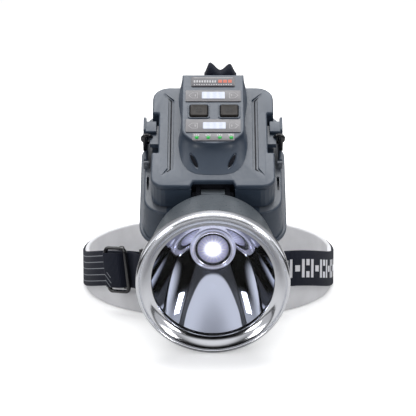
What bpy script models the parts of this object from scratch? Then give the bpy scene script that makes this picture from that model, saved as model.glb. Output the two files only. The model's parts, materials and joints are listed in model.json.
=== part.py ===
"""Headlamp for mining and night work: a tilting lamp head on a battery case, carried by an elastic headband.

Every size is in millimetres and becomes metres through MM. +Z is up and the beam points towards -Y.
The lamp stands on the lower edge of the headband liner and on the lamp head's bezel, both at Z = 0.

Three local frames place the pieces:
  world       the headband, its liner and the forehead bracket
  case frame  origin on the lid's front edge, X to the right, Y back along the lid, Z out of the lid
  head frame  origin at the centre of the bezel's front, Y up across the bezel, Z along the beam
"""

import math

import bmesh
import bpy
from mathutils import Matrix, Vector

MM = 0.001
MERGE = 0.00001
GAP = 0.3

# Frames
ORIGIN_SHIFT = (3.3, 42.8, 0.0)
CASE_ORIGIN = (0.0, -112.0, 99.1)
CASE_PITCH = 30.0
HEAD_ORIGIN = (0.0, -167.8, 48.1)
HEAD_PITCH = 10.0

# Battery case, in the case frame
CASE_HALF_WIDTH = 40.75
CASE_LENGTH = 97.0
CASE_CORNER = 9.5
LID_THICKNESS = 3.4
CASE_TOP = -3.7
CASE_BOTTOM = -18.9
WALL = 2.0
RIM_TOP = -20.2
TRAY_BOTTOM = -46.0
TRAY_HALF_WIDTH = 45.4
TRAY_FLARE = 1.6
TRAY_FRONT = -4.8
TRAY_BACK = 92.0
BASE_THICKNESS = 3.0
BASE_HALF_WIDTH = 49.3
BASE_FRONT = -8.0
BASE_BACK = 88.0
RECESS_HALF_WIDTH = 14.5
RECESS_DEPTH = 10.5
POCKET_FRONT = 32.4
POCKET_BACK = 71.0
POCKET_DEPTH = 4.4

# Control housing on the lid
HUMP_HEIGHT = 11.6
HUMP_WALL = 1.8
BUTTON_Y = 59.7
BUTTON_X = (-9.45, 10.8)
BUTTON_SIZE = (11.5, 11.0)
INDICATOR_X = (-10.7, -3.1, 4.5, 12.1)

# Tilt hinge and lamp head
PIVOT = (2.0, -12.5)
BARREL_RADIUS = 5.5
PIN_RADIUS = 2.4
BORE_RADIUS = 2.75
BEZEL_RADIUS = 49.2
LENS_RADIUS = 41.2
REFLECTOR_RIM = 39.3
REFLECTOR_HOLE = 13.4
REFLECTOR_TOP = -10.3
REFLECTOR_END = -53.0

# Side latches
LATCH_X = 44.6
LATCH_Z = -17.2
LATCH_FRONT = 41.0
LATCH_BACK = 69.0

# Headband, in the world frame
LINER_A = 87.0
LINER_B = 83.5
LINER_WALL = 3.0
LINER_HEIGHT = 27.0
BAND_THICKNESS = 1.4
BAND_WIDTH = 25.0
BAND_LOW = 0.5
BAND_RISE = 18.5
BAND_SHIFT = -3.3
BRACKET_RADIUS = 90.0
BRACKET_WALL = 3.0
SLOT_ANGLE = 25.0
BUCKLE_ANGLE = 139.5

MATERIALS = {
    "case_grey": ((0.20, 0.23, 0.27), 0.45, 0.0),
    "panel_grey": ((0.36, 0.37, 0.40), 0.35, 0.3),
    "black_plastic": ((0.02, 0.02, 0.022), 0.5, 0.0),
    "button_rubber": ((0.09, 0.085, 0.08), 0.6, 0.0),
    "seal_rubber": ((0.03, 0.03, 0.03), 0.8, 0.0),
    "chrome": ((0.85, 0.86, 0.90), 0.08, 1.0),
    "reflector": ((0.92, 0.93, 0.97), 0.03, 1.0),
    "glass": ((0.9, 0.93, 1.0), 0.02, 0.0),
    "led": ((1.0, 0.95, 0.8), 0.3, 0.0),
    "display": ((0.92, 0.95, 0.98), 0.2, 0.0),
    "indicator": ((0.02, 0.6, 0.15), 0.3, 0.0),
    "circuit_board": ((0.02, 0.18, 0.09), 0.5, 0.0),
    "aluminium": ((0.75, 0.76, 0.78), 0.35, 1.0),
    "steel": ((0.6, 0.61, 0.63), 0.3, 1.0),
    "battery": ((0.10, 0.25, 0.55), 0.4, 0.0),
    "webbing": ((0.02, 0.025, 0.045), 0.9, 0.0),
    "liner_foam": ((0.66, 0.67, 0.70), 0.85, 0.0),
    "pad_foam": ((0.05, 0.05, 0.055), 0.95, 0.0),
}


# ---------------------------------------------------------------- helpers


def vec(x, y, z):
    """A point in millimetres as a vector in metres."""
    return Vector((x, y, z)) * MM


def clear_scene():
    for old in list(bpy.data.objects):
        bpy.data.objects.remove(old)


def make_materials():
    made = {}
    for name, (colour, roughness, metallic) in MATERIALS.items():
        material = bpy.data.materials.new(name)
        material.use_nodes = True
        shader = material.node_tree.nodes["Principled BSDF"]
        shader.inputs["Base Color"].default_value = (*colour, 1.0)
        shader.inputs["Roughness"].default_value = roughness
        shader.inputs["Metallic"].default_value = metallic
        made[name] = material
    return made


def add_frame(name, location, pitch=0.0, parent=None):
    """An empty at a point in millimetres, turned about X by pitch degrees."""
    empty = bpy.data.objects.new(name, None)
    PARTS.objects.link(empty)
    empty.parent = parent
    empty.location = vec(*location)
    empty.rotation_euler = (math.radians(pitch), 0.0, 0.0)
    return empty


def stand(objects, origin):
    """Carries every object without a parent on one empty, so that the lamp stands over the world's origin."""
    root = add_frame("lamp_frame", origin)
    for obj in objects:
        if obj.parent is None and obj is not root:
            obj.parent = root


def add_object(name, mesh, parent=None, material=None, smooth=True):
    obj = bpy.data.objects.new(name, mesh)
    PARTS.objects.link(obj)
    obj.parent = parent
    if material:
        mesh.materials.append(MATERIAL[material])
    if smooth:
        mesh.shade_smooth()
        mesh.set_sharp_from_angle(angle=math.radians(35))
    return obj


def mesh_from(bm, name):
    mesh = bpy.data.meshes.new(name)
    bm.to_mesh(mesh)
    bm.free()
    return mesh


def box_bmesh(low, high, corner=0.0, steps=4, edge=0.0):
    """A box between two corners in millimetres; corner rounds its upright edges and edge its rims."""
    low, high = Vector(low), Vector(high)
    size, centre = high - low, (high + low) / 2
    bm = bmesh.new()
    bmesh.ops.create_cube(bm, size=MM)
    bmesh.ops.scale(bm, vec=size, verts=bm.verts)
    bmesh.ops.translate(bm, vec=centre * MM, verts=bm.verts)
    if corner:
        upright = [e for e in bm.edges if abs(e.verts[0].co.z - e.verts[1].co.z) > size.z * MM / 2]
        bmesh.ops.bevel(bm, geom=upright, offset=corner * MM, segments=steps, affect="EDGES", profile=0.5)
    if edge:
        top = high.z * MM - MERGE
        rim = [e for e in bm.edges if all(v.co.z > top for v in e.verts)]
        bmesh.ops.bevel(bm, geom=rim, offset=edge * MM, segments=2, affect="EDGES", profile=0.5)
    return bm


def box(name, low, high, parent=None, material=None, corner=0.0, steps=4, edge=0.0):
    bm = box_bmesh(low, high, corner, steps, edge)
    return add_object(name, mesh_from(bm, name), parent, material)


def boxes(name, corners, parent, material, corner=0.0):
    """Several separate boxes in one object, from a list of (low, high) pairs."""
    whole = bmesh.new()
    for low, high in corners:
        mesh = mesh_from(box_bmesh(low, high, corner, 2), name)
        whole.from_mesh(mesh)
        bpy.data.meshes.remove(mesh)
    return add_object(name, mesh_from(whole, name), parent, material)


def cylinder_bmesh(radius, start, end, sides=24, radius_end=None):
    """A closed cylinder or cone between two points in millimetres."""
    start, end = Vector(start), Vector(end)
    axis = end - start
    turn = axis.to_track_quat("Z", "Y").to_matrix().to_4x4()
    place = Matrix.Translation((start + end) / 2 * MM) @ turn
    bm = bmesh.new()
    bmesh.ops.create_cone(
        bm, cap_ends=True, segments=sides, radius1=radius * MM,
        radius2=(radius if radius_end is None else radius_end) * MM, depth=axis.length * MM, matrix=place,
    )
    return bm


def cylinder(name, radius, start, end, parent=None, material=None, sides=24):
    return add_object(name, mesh_from(cylinder_bmesh(radius, start, end, sides), name), parent, material)


def cylinders(name, rods, parent, material, sides=16):
    """Several separate cylinders in one object, from a list of (radius, start, end)."""
    whole = bmesh.new()
    for radius, start, end in rods:
        mesh = mesh_from(cylinder_bmesh(radius, start, end, sides), name)
        whole.from_mesh(mesh)
        bpy.data.meshes.remove(mesh)
    return add_object(name, mesh_from(whole, name), parent, material)


def turned(name, profile, parent=None, material=None, steps=48, closed=True):
    """A shape turned about Z from (radius, height) points that run down its outer side."""
    mesh = bpy.data.meshes.new(name)
    points = [vec(radius, 0.0, height) for radius, height in profile]
    edges = [(i, i + 1) for i in range(len(points) - 1)]
    if closed:
        edges.append((len(points) - 1, 0))
    mesh.from_pydata(points, edges, [])
    obj = add_object(name, mesh, parent, material, smooth=False)
    screw = obj.modifiers.new("turn", "SCREW")
    screw.axis = "Z"
    screw.steps = steps
    screw.render_steps = steps
    screw.use_merge_vertices = True
    screw.merge_threshold = MERGE
    screw.use_smooth_shade = True
    return obj


def outline(name, points, low, high, parent=None, material=None):
    """A flat outline in X and Y, standing from low to high, as a filled 2D curve turned into a mesh."""
    curve = bpy.data.curves.new(name, "CURVE")
    curve.dimensions = "2D"
    curve.fill_mode = "BOTH"
    curve.extrude = (high - low) / 2 * MM
    spline = curve.splines.new("POLY")
    spline.points.add(len(points) - 1)
    for target, (x, y) in zip(spline.points, points):
        target.co = (x * MM, y * MM, 0.0, 1.0)
    spline.use_cyclic_u = True
    drawn = bpy.data.objects.new(name + "_outline", curve)
    PARTS.objects.link(drawn)
    mesh = bpy.data.meshes.new_from_object(drawn.evaluated_get(bpy.context.evaluated_depsgraph_get()))
    bpy.data.objects.remove(drawn)
    bm = bmesh.new()
    bm.from_mesh(mesh)
    bmesh.ops.remove_doubles(bm, verts=bm.verts, dist=MERGE)
    bmesh.ops.translate(bm, vec=vec(0, 0, (low + high) / 2), verts=bm.verts)
    bmesh.ops.recalc_face_normals(bm, faces=bm.faces)
    bpy.data.meshes.remove(mesh)
    return add_object(name, mesh_from(bm, name), parent, material)


def rounded_outline(half_width, front, back, radius_front, radius_back, steps=5):
    """Points of a rectangle in X and Y with round corners, front ones and back ones apart."""
    corners = (
        (half_width - radius_front, front + radius_front, radius_front, 270),
        (half_width - radius_back, back - radius_back, radius_back, 0),
        (-half_width + radius_back, back - radius_back, radius_back, 90),
        (-half_width + radius_front, front + radius_front, radius_front, 180),
    )
    points = []
    for x, y, radius, start in corners:
        for k in range(steps + 1):
            angle = math.radians(start + 90 * k / steps)
            points.append((x + radius * math.cos(angle), y + radius * math.sin(angle)))
    return points


def as_cutter(obj):
    """Moves an object to the cutters' collection, where the build leaves it out."""
    PARTS.objects.unlink(obj)
    CUTTERS.objects.link(obj)
    obj.hide_render = True
    obj.display_type = "WIRE"
    return obj


def combine(obj, tool, operation="DIFFERENCE"):
    as_cutter(tool)
    modifier = obj.modifiers.new(operation.lower(), "BOOLEAN")
    modifier.operation = operation
    modifier.object = tool
    return obj


def cut(obj, tool):
    return combine(obj, tool, "DIFFERENCE")


def join(obj, tool):
    return combine(obj, tool, "UNION")


def solidify(obj, thickness, offset=-1.0):
    modifier = obj.modifiers.new("wall", "SOLIDIFY")
    modifier.thickness = thickness * MM
    modifier.offset = offset
    modifier.use_even_offset = True
    return obj


def ribbon(name, low_edge, side, thickness, material, closed=False):
    """A strip of webbing or foam: low_edge is one edge in millimetres and side leads to the other edge."""
    bm = bmesh.new()
    verts = [bm.verts.new(vec(*p)) for p in low_edge]
    pairs = list(zip(verts, verts[1:]))
    if closed:
        pairs.append((verts[-1], verts[0]))
    edges = [bm.edges.new(pair) for pair in pairs]
    made = bmesh.ops.extrude_edge_only(bm, edges=edges)["geom"]
    bmesh.ops.translate(bm, vec=vec(*side), verts=[g for g in made if isinstance(g, bmesh.types.BMVert)])
    obj = add_object(name, mesh_from(bm, name), None, material)
    return solidify(obj, thickness, 0.0)


def smooth_step(value):
    value = min(1.0, max(0.0, value))
    return value * value * (3 - 2 * value)


def on_curve(points, count):
    """Evenly counted points of a smooth curve through the given ones (Catmull-Rom)."""
    padded = [points[0], *points, points[-1]]
    made = []
    spans = len(points) - 1
    for k in range(count):
        position = spans * k / (count - 1)
        i = min(int(position), spans - 1)
        t = position - i
        a, b, c, d = (Vector(p) for p in padded[i : i + 4])
        made.append(
            ((2 * b) + (c - a) * t + (2 * a - 5 * b + 4 * c - d) * t * t + (3 * b - a - 3 * c + d) * t**3) / 2
        )
    return made


def case_to_world(y, z):
    """World Y and Z of a point given in the case frame, on the plane X = 0."""
    pitch = math.radians(CASE_PITCH)
    return (
        CASE_ORIGIN[1] + y * math.cos(pitch) - z * math.sin(pitch),
        CASE_ORIGIN[2] + y * math.sin(pitch) + z * math.cos(pitch),
    )


# ---------------------------------------------------------------- battery case


def screw(name, x, y, seat, length, parent, out=1, sides=12):
    """One screw with its head on a seat height and its shank going the other way; out is +1 up or -1 down."""
    bm = bmesh.new()
    rings = []
    for radius, height in ((2.5, 1.5), (2.5, 0.0), (1.25, 0.0), (1.25, -length)):
        rings.append([
            bm.verts.new(vec(x + radius * math.cos(a), y + out * radius * math.sin(a), seat + out * height))
            for a in (2 * math.pi * k / sides for k in range(sides))
        ])
    bm.faces.new(rings[0])
    bm.faces.new(list(reversed(rings[-1])))
    for upper, lower in zip(rings, rings[1:]):
        for k in range(sides):
            bm.faces.new((upper[k], lower[k], lower[(k + 1) % sides], upper[(k + 1) % sides]))
    return add_object(name, mesh_from(bm, name), parent, "steel")


def drill(obj, places, radius, low, high, parent):
    """Round holes through obj at (x, y) places, from low to high."""
    rods = [(radius, (x, y, low), (x, y, high)) for x, y in places]
    holes = cylinders(obj.name + "_holes", rods, parent, None, 12)
    return cut(obj, holes)


BRACKET_SCREWS = [(sx * 17.0, y) for sx in (-1, 1) for y in (8.0, 23.0)]


def make_upper_case(frame):
    half = CASE_HALF_WIDTH
    low, high = (-half, 0, CASE_BOTTOM), (half, CASE_LENGTH, CASE_TOP)
    case = box("upper_case", low, high, frame, "case_grey", CASE_CORNER, 5)
    cavity = box(
        "case_cavity",
        (-half + WALL, WALL, CASE_BOTTOM + WALL),
        (half - WALL, CASE_LENGTH - WALL, CASE_TOP + 2),
        frame,
        None,
        CASE_CORNER - WALL,
        4,
    )
    guard_x = RECESS_HALF_WIDTH + WALL
    cut(cavity, box("recess_guard", (-guard_x, -2, CASE_BOTTOM), (guard_x, RECESS_DEPTH + WALL, 2), frame))
    for side in (-1, 1):
        guard = sorted((side * (half - POCKET_DEPTH - WALL), side * (half + 5)))
        cut(cavity, box(
            f"pocket_guard_{side}",
            (guard[0], POCKET_FRONT - WALL, CASE_BOTTOM),
            (guard[1], POCKET_BACK + WALL, 2),
            frame,
        ))
    cut(case, cavity)
    cut(case, box(
        "recess",
        (-RECESS_HALF_WIDTH, -3, CASE_BOTTOM - 1),
        (RECESS_HALF_WIDTH, RECESS_DEPTH, CASE_TOP + 1),
        frame,
    ))
    for side in (-1, 1):
        span = sorted((side * (half - POCKET_DEPTH), side * (half + 5)))
        low, high = (span[0], POCKET_FRONT, -14.5), (span[1], POCKET_BACK, CASE_TOP + 1)
        cut(case, box(f"pocket_{side}", low, high, frame))
    inner = half - POCKET_DEPTH
    for side in (-1, 1):
        span = sorted((side * (inner - 1), side * (inner + 5.9)))
        join(case, box(f"latch_catch_{side}", (span[0], 46, -8.6), (span[1], 64, -5.4), frame))
    return case


def rib_outline(side):
    """A raised rib along the lid with an outward tail at each end."""
    inner, outer, tail = 26.8, 29.2, 33.0
    front_end = [(inner, 16.5), (tail - 1.7, 9.6), (tail, 11.4), (outer, 17.2)]
    back_end = [(outer, 83.8), (tail, 89.4), (tail - 1.7, 91.2), (inner, 84.5)]
    points = front_end + back_end
    return [(side * x, y) for x, y in points]


def make_lid(frame):
    half = CASE_HALF_WIDTH
    notch, shoulder, depth = 13.2, 15.2, 4.9
    low, high = (-half, 0, -LID_THICKNESS), (half, CASE_LENGTH, 0)
    lid = box("top_lid", low, high, frame, "case_grey", CASE_CORNER, 5, edge=0.9)
    cut(lid, outline(
        "lid_notch", [(-shoulder - 2, -2), (shoulder + 2, -2), (notch, depth), (-notch, depth)], -6, 3, frame,
    ))
    for side in (-1, 1):
        span = sorted((side * (half - POCKET_DEPTH), side * (half + 5)))
        cut(lid, box(f"lid_pocket_{side}", (span[0], POCKET_FRONT, -6), (span[1], POCKET_BACK, 3), frame))
        join(lid, outline(f"lid_rib_{side}", rib_outline(side), -1.0, 0.8, frame))
    cut(lid, box("lid_window", (-16, 36, -6), (16, 88, 3), frame))
    return lid


def make_tray(frame):
    half = TRAY_HALF_WIDTH
    low, high = (-half, TRAY_FRONT, TRAY_BOTTOM), (half, TRAY_BACK, RIM_TOP)
    tray = box("lower_tray", low, high, frame, "case_grey", 15.0, 6)
    middle = (TRAY_FRONT + TRAY_BACK) / 2 * MM
    for vertex in tray.data.vertices:
        if vertex.co.z < (TRAY_BOTTOM + 1) * MM:
            vertex.co.x *= 1 + TRAY_FLARE / half
            vertex.co.y = middle + (vertex.co.y - middle) * 1.025
    cut(tray, box("tray_mouth", (-37.4, 3.6, -24), (37.4, 84, -18), frame, None, 6.0, 4))
    cut(tray, box(
        "tray_cavity",
        (-half + 2.4, TRAY_FRONT + 2.4, TRAY_BOTTOM + 2.2),
        (half - 2.4, TRAY_BACK - 2.4, -22.6),
        frame, None, 12.6, 5,
    ))
    for side in (-1, 1):
        for y in (37.6, 69.4):
            span = sorted((side * (LATCH_X - 2.1), side * (LATCH_X + 2.1)))
            low, high = (span[0], y, RIM_TOP - 1), (span[1], y + 3, LATCH_Z + 2.2)
            join(tray, box(f"lug_{side}_{y:.0f}", low, high, frame))
        hole = cylinder(
            f"pin_hole_{side}",
            1.25,
            (side * LATCH_X, 36, LATCH_Z),
            (side * LATCH_X, 74, LATCH_Z),
            frame,
            None,
            12,
        )
        cut(tray, hole)
    drill(tray, BRACKET_SCREWS, 1.5, TRAY_BOTTOM - 1, TRAY_BOTTOM + 4, frame)
    return tray


def make_base(frame):
    low, high = TRAY_BOTTOM - GAP - BASE_THICKNESS, TRAY_BOTTOM - GAP
    points = rounded_outline(BASE_HALF_WIDTH, BASE_FRONT, BASE_BACK, 19.0, 10.0, 6)
    base = outline("base_plate", points, low, high, frame, "case_grey")
    drill(base, BRACKET_SCREWS, 1.5, low - 1, high + 1, frame)
    return base


def make_gasket(frame):
    low, high = CASE_BOTTOM - 1.0, CASE_BOTTOM - GAP
    gasket = box("case_gasket", (-40.2, 0.6, low), (40.2, 91.0, high), frame, "seal_rubber", 9.0, 5)
    return cut(gasket, box("gasket_hole", (-38.2, 2.6, low - 1), (38.2, 89.0, high + 1), frame, None, 7.0, 5))


def make_case(frame):
    make_upper_case(frame)
    make_lid(frame)
    make_tray(frame)
    make_base(frame)
    make_gasket(frame)


# ---------------------------------------------------------------- control housing


def hump_section(share):
    """The control housing's outline at a height share: 0 is on the lid and 1 at the top."""
    base_side = [(22.2, 97.0), (23.2, 82.0), (21.4, 62.0), (23.0, 44.0), (22.3, 32.0)]
    base_side += [(19.8, 21.0), (14.5, 13.4), (7.5, 10.9), (0.0, 10.4)]
    top_side = [(20.7, 97.0), (20.7, 82.0), (20.7, 62.0), (20.7, 46.0), (20.0, 39.5)]
    top_side += [(17.4, 35.4), (12.6, 31.0), (6.5, 28.9), (0.0, 28.2)]
    ease = math.sin(share * math.pi / 2) ** 0.9
    half = [(b[0] + (t[0] - b[0]) * ease, b[1] + (t[1] - b[1]) * ease) for b, t in zip(base_side, top_side)]
    return half + [(-x, y) for x, y in reversed(half[:-1])]


def make_hump(frame):
    shares = (0.0, 0.3, 0.6, 0.85, 0.96, 1.0)
    bm = bmesh.new()
    rings = []
    for share in shares:
        height = 0.2 + (HUMP_HEIGHT - 0.2) * share
        rings.append([bm.verts.new(vec(x, y, height)) for x, y in hump_section(share * 0.97)])
    count = len(rings[0])
    for lower, upper in zip(rings, rings[1:]):
        for k in range(count):
            bm.faces.new((lower[k], lower[(k + 1) % count], upper[(k + 1) % count], upper[k]))
    bm.faces.new(rings[-1])
    bmesh.ops.recalc_face_normals(bm, faces=bm.faces)
    if bm.faces[-1].normal.z < 0:
        bmesh.ops.reverse_faces(bm, faces=bm.faces)
    hump = add_object("control_housing", mesh_from(bm, "control_housing"), frame, "case_grey")
    solidify(hump, HUMP_WALL)
    cut(hump, box("hump_foot", (-30, 5, -6), (30, 102, 0.2), frame))
    width, length = BUTTON_SIZE
    for index, x in enumerate(BUTTON_X):
        grow = 0.4
        cut(hump, box(
            f"button_window_{index}", (x - width / 2 - grow, BUTTON_Y - length / 2 - grow, 7),
            (x + width / 2 + grow, BUTTON_Y + length / 2 + grow, 15), frame, None, 1.4, 2,
        ))
    return hump


def make_button(name, x, frame):
    """A rubber key with its origin on its travel axis and a flange that holds it under the housing's top."""
    width, length = BUTTON_SIZE
    axis = add_frame(name + "_axis", (x, BUTTON_Y, 0), 0.0, frame)
    low, high = (-width / 2, -length / 2, 8.6), (width / 2, length / 2, 13.3)
    key = box(name, low, high, axis, "button_rubber", 1.2, 2, edge=0.5)
    flange_x, flange_y = width / 2 + 0.9, length / 2 + 0.9
    return join(key, box(name + "_flange", (-flange_x, -flange_y, 8.0), (flange_x, flange_y, 9.2), axis))


def make_panel(frame):
    top = HUMP_HEIGHT + 0.2
    plates = (
        ("name_plate", (-14.7, 84.4), (14.8, 94.3), "panel_grey"),
        ("strip_upper", (-18.5, 69.2), (18.7, 80.4), "panel_grey"),
        ("strip_lower", (-18.2, 38.8), (18.4, 51.4), "panel_grey"),
        ("indicator_strip", (-13.6, 30.6), (14.2, 37.6), "panel_grey"),
    )
    for name, low, high, material in plates:
        box(name, (*low, top), (*high, top + 0.5), frame, material, 0.6, 2)
    box("display_upper", (-7.5, 71.6, top + 0.7), (8.0, 78.4, top + 1.1), frame, "display")
    box("display_lower", (-6.7, 41.6, top + 0.7), (8.5, 48.1, top + 1.1), frame, "display")
    guide = box("charge_indicators", (-11.4, 34.0, top - 3.4), (12.4, 37.2, top - 2.2), frame, "indicator")
    for index, x in enumerate(INDICATOR_X):
        start, end = (x, 33.4, top - 3.2), (x, 33.4, top + 1.1)
        join(guide, cylinder(f"lamp_{index}", 1.2, start, end, frame, None, 12))
        for other in ("indicator_strip", "control_housing"):
            hole = cylinder(f"{other}_hole_{index}", 1.6, (x, 33.4, 7.6), (x, 33.4, top + 2), frame, None, 12)
            cut(bpy.data.objects[other], hole)
    make_button("button_left", BUTTON_X[0], frame)
    make_button("button_right", BUTTON_X[1], frame)
    board = box("control_board", (-16.5, 37, 3.4), (16.5, 90, 5.0), frame, "circuit_board")
    for index, x in enumerate(BUTTON_X):
        low, high = (x - 3, BUTTON_Y - 3, 4.5), (x + 3, BUTTON_Y + 3, 6.9)
        join(board, box(f"tact_switch_{index}", low, high, frame))


# ---------------------------------------------------------------- inside the case


def make_electrics(frame):
    box("driver_board", (-33, 74, -16.4), (33, 93, -14.8), frame, "circuit_board", 1.5, 2)
    cylinder("driver_coil", 5.0, (-12, 83, -14.5), (-12, 83, -7.5), frame, "black_plastic", 20)
    for index, x in enumerate((-28.8, -9.6, 9.6, 28.8)):
        cylinder(f"battery_cell_{index + 1}", 9.1, (x, 8.6, -33.0), (x, 73.6, -33.0), frame, "battery", 20)
    for word, y in (("front", 7.8), ("back", 74.0)):
        box(f"contact_{word}", (-36, y, -40), (36, y + 0.4, -26), frame, "steel")
    holder = box("cell_holder", (-38.2, 5.2, -43.5), (38.2, 77.0, -24.2), frame, "black_plastic", 1.0, 2)
    cut(holder, box("cell_space", (-39, 7.4, -42.4), (39, 74.8, -20), frame))


# ---------------------------------------------------------------- latches, port and strap bar


def make_latch(side, frame):
    """A side clip that swings on its pin and hooks over a catch in the case's pocket."""
    word = "left" if side < 0 else "right"
    axis = add_frame(f"latch_{word}_axis", (side * LATCH_X, 0, LATCH_Z), 0.0, frame)
    name = f"latch_{word}"
    front, back = LATCH_FRONT, LATCH_BACK
    plate = sorted((side * -0.7, side * 2.1))
    latch = box(name, (plate[0], front, -1.0), (plate[1], back, 14.6), axis, "case_grey")
    barrel = cylinder(name + "_barrel", 2.0, (0, front, 0), (0, back, 0), axis, None, 16)
    join(latch, barrel)
    hook = sorted((side * -5.4, side * 1.0))
    join(latch, box(name + "_hook", (hook[0], front + 3, 12.4), (hook[1], back - 3, 14.2), axis))
    cut(latch, cylinder(name + "_bore", 1.3, (0, front - 1, 0), (0, back + 1, 0), axis, None, 12))
    cut(latch, box(name + "_grip", (-9, back - 3.4, 6), (9, back + 1, 9.5), axis))
    return latch


def make_latches(frame):
    for side in (-1, 1):
        make_latch(side, frame)
        word = "left" if side < 0 else "right"
        x = side * LATCH_X
        cylinder(f"latch_pin_{word}", 0.95, (x, 37.0, LATCH_Z), (x, 73.0, LATCH_Z), frame, "steel", 12)


def make_port(frame):
    """A charging socket in the back wall with a rubber cover that folds down."""
    port_x, port_z = 26.5, -11.0
    case = bpy.data.objects["upper_case"]
    cut(case, box("port_hole", (port_x - 5, 93, port_z - 2.1), (port_x + 5, 99, port_z + 2.1), frame))
    low, high = (port_x - 4.6, 89.5, port_z - 1.7), (port_x + 4.6, 97.0, port_z + 1.7)
    socket = box("charge_port", low, high, frame, "steel")
    cut(socket, box("port_mouth", (port_x - 4.0, 92, port_z - 1.1), (port_x + 4.0, 99, port_z + 1.1), frame))
    axis = add_frame("port_cover_axis", (port_x, CASE_LENGTH + 1.5, port_z - 4.4), 0.0, frame)
    cover = box("port_cover", (-6.2, -1.1, 0.2), (6.2, 1.0, 8.6), axis, "seal_rubber")
    join(cover, cylinder("cover_knuckle", 1.1, (-6.2, 0, 0), (6.2, 0, 0), axis, None, 12))


def make_strap_bar(frame):
    """A bar behind the case that carries the top strap."""
    back = CASE_LENGTH + GAP
    plate = box("strap_bar", (-19, back, -16.5), (19, back + 2.4, -4.5), frame, "black_plastic")
    for side in (-1, 1):
        span = sorted((side * 16.5, side * 19.0))
        join(plate, box(f"bar_arm_{side}", (span[0], back + 1, -9), (span[1], back + 6.2, 4.4), frame))
    join(plate, cylinder("bar_rod", 1.5, (-18, 102.3, 3.6), (18, 102.3, 3.6), frame, None, 14))


# ---------------------------------------------------------------- lamp head


def make_hinge(frame):
    y, z = PIVOT
    ears = box("hinge_bracket", (-13.4, 8.4, -18.2), (13.4, RECESS_DEPTH - GAP, -5.4), frame, "black_plastic")
    for side in (-1, 1):
        span = sorted((side * 8.2, side * 11.2))
        join(ears, box(f"ear_{side}", (span[0], y, z - 4.8), (span[1], 9.4, z + 4.8), frame))
        start, end = (span[0] - 0.1, y, z), (span[1] + 0.1, y, z)
        join(ears, cylinder(f"ear_round_{side}", 5.1, start, end, frame, None, 20))
    cut(ears, cylinder("ear_bore", BORE_RADIUS, (-15, y, z), (15, y, z), frame, None, 20))
    pin = cylinder("hinge_pin", PIN_RADIUS, (-12.6, y, z), (13.9, y, z), frame, "steel", 20)
    join(pin, cylinder("pin_head", 4.0, (-13.9, y, z), (-11.5, y, z), frame, None, 20))
    nut = cylinder("hinge_nut", 4.4, (11.5, y, z), (13.6, y, z), frame, "steel", 6)
    cut(nut, cylinder("nut_bore", BORE_RADIUS, (10, y, z), (15, y, z), frame, None, 20))


def reflector_height(radius):
    """Height of the reflector's parabola at a radius, in the head frame."""
    depth = REFLECTOR_TOP - REFLECTOR_END
    return REFLECTOR_END + depth * (radius**2 - REFLECTOR_HOLE**2) / (REFLECTOR_RIM**2 - REFLECTOR_HOLE**2)


def make_optics(head):
    turned("bezel_ring", [
        (46.4, 0.0), (48.3, -0.7), (BEZEL_RADIUS, -2.4), (BEZEL_RADIUS, -7.4), (48.2, -9.0), (47.4, -9.0),
        (47.4, -6.4), (41.8, -6.4), (39.2, -6.0), (39.8, -4.6), (42.2, -3.2), (43.2, -1.3),
    ], head, "chrome", 56)
    cylinder("front_lens", LENS_RADIUS, (0, 0, -8.8), (0, 0, -6.8), head, "glass", 48)
    seal = [(LENS_RADIUS, -9.1), (LENS_RADIUS, -9.9), (39.6, -9.9), (39.6, -9.1)]
    turned("lens_gasket", seal, head, "seal_rubber", 40)
    inner = [REFLECTOR_HOLE + (REFLECTOR_RIM - REFLECTOR_HOLE) * k / 8 for k in range(9)]
    wall = 1.0
    profile = [(41.0, -10.3), (41.0, -11.3)]
    profile += [(radius + wall, reflector_height(radius) - wall * 0.3) for radius in reversed(inner)]
    profile += [(radius, reflector_height(radius)) for radius in inner]
    turned("reflector", profile, head, "reflector", 48)
    turned("head_shell", [
        *[(46.9, -6.9), (47.0, -10.0), (46.2, -15.0), (40.0, -51.5), (38.6, -56.0), (35.5, -59.0)],
        *[(20.6, -59.0), (20.6, -57.2), (34.7, -57.2), (37.0, -55.2), (38.2, -51.2), (43.9, -17.0)],
        *[(44.0, -12.6), (41.6, -12.0), (41.6, -6.9)],
    ], head, "case_grey", 48)


def make_light_source(head):
    collar = [(13.0, -51.6), (13.0, -54.6), (10.0, -54.6), (10.0, -52.2), (11.6, -51.2), (12.4, -51.2)]
    turned("led_retainer", collar, head, "chrome", 32)
    dome = [(9.7 * math.sin(a), -54.4 + 6.0 * math.cos(a)) for a in (math.pi / 2 * k / 6 for k in range(7))]
    dome[0] = (0.0, dome[0][1])
    turned("led_lens", dome + [(9.7, -54.6), (0.0, -54.6)], head, "glass", 24, closed=False)
    box("led_chip", (-3.5, -3.5, -55.9), (3.5, 3.5, -55.0), head, "led")
    cylinder("led_board", 12.8, (0, 0, -57.4), (0, 0, -56.2), head, "aluminium", 24)
    sink = cylinder("heat_sink", 18.6, (0, 0, -64.0), (0, 0, -57.7), head, "aluminium", 32)
    slots = [((x - 1.2, -25, -66), (x + 1.2, 25, -60.4)) for x in (-14.4, -9.6, -4.8, 0.0, 4.8, 9.6, 14.4)]
    cut(sink, boxes("sink_slots", slots, head, None))


def make_neck(head):
    """The arm that carries the lamp head: a plate on the shell's back and a barrel on the tilt hinge."""
    up, back = 29.5, -69.9
    neck = box("head_neck", (-10, 20.9, -62.3), (10, 33.4, -59.3), head, "case_grey")
    join(neck, box("neck_arm", (-7.8, up - 5.2, back + 0.5), (7.8, up + 4.2, -61), head))
    join(neck, cylinder("neck_barrel", BARREL_RADIUS, (-7.8, up, back), (7.8, up, back), head, None, 24))
    cut(neck, cylinder("neck_bore", BORE_RADIUS, (-9, up, back), (9, up, back), head, None, 20))


# ---------------------------------------------------------------- headband


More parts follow.
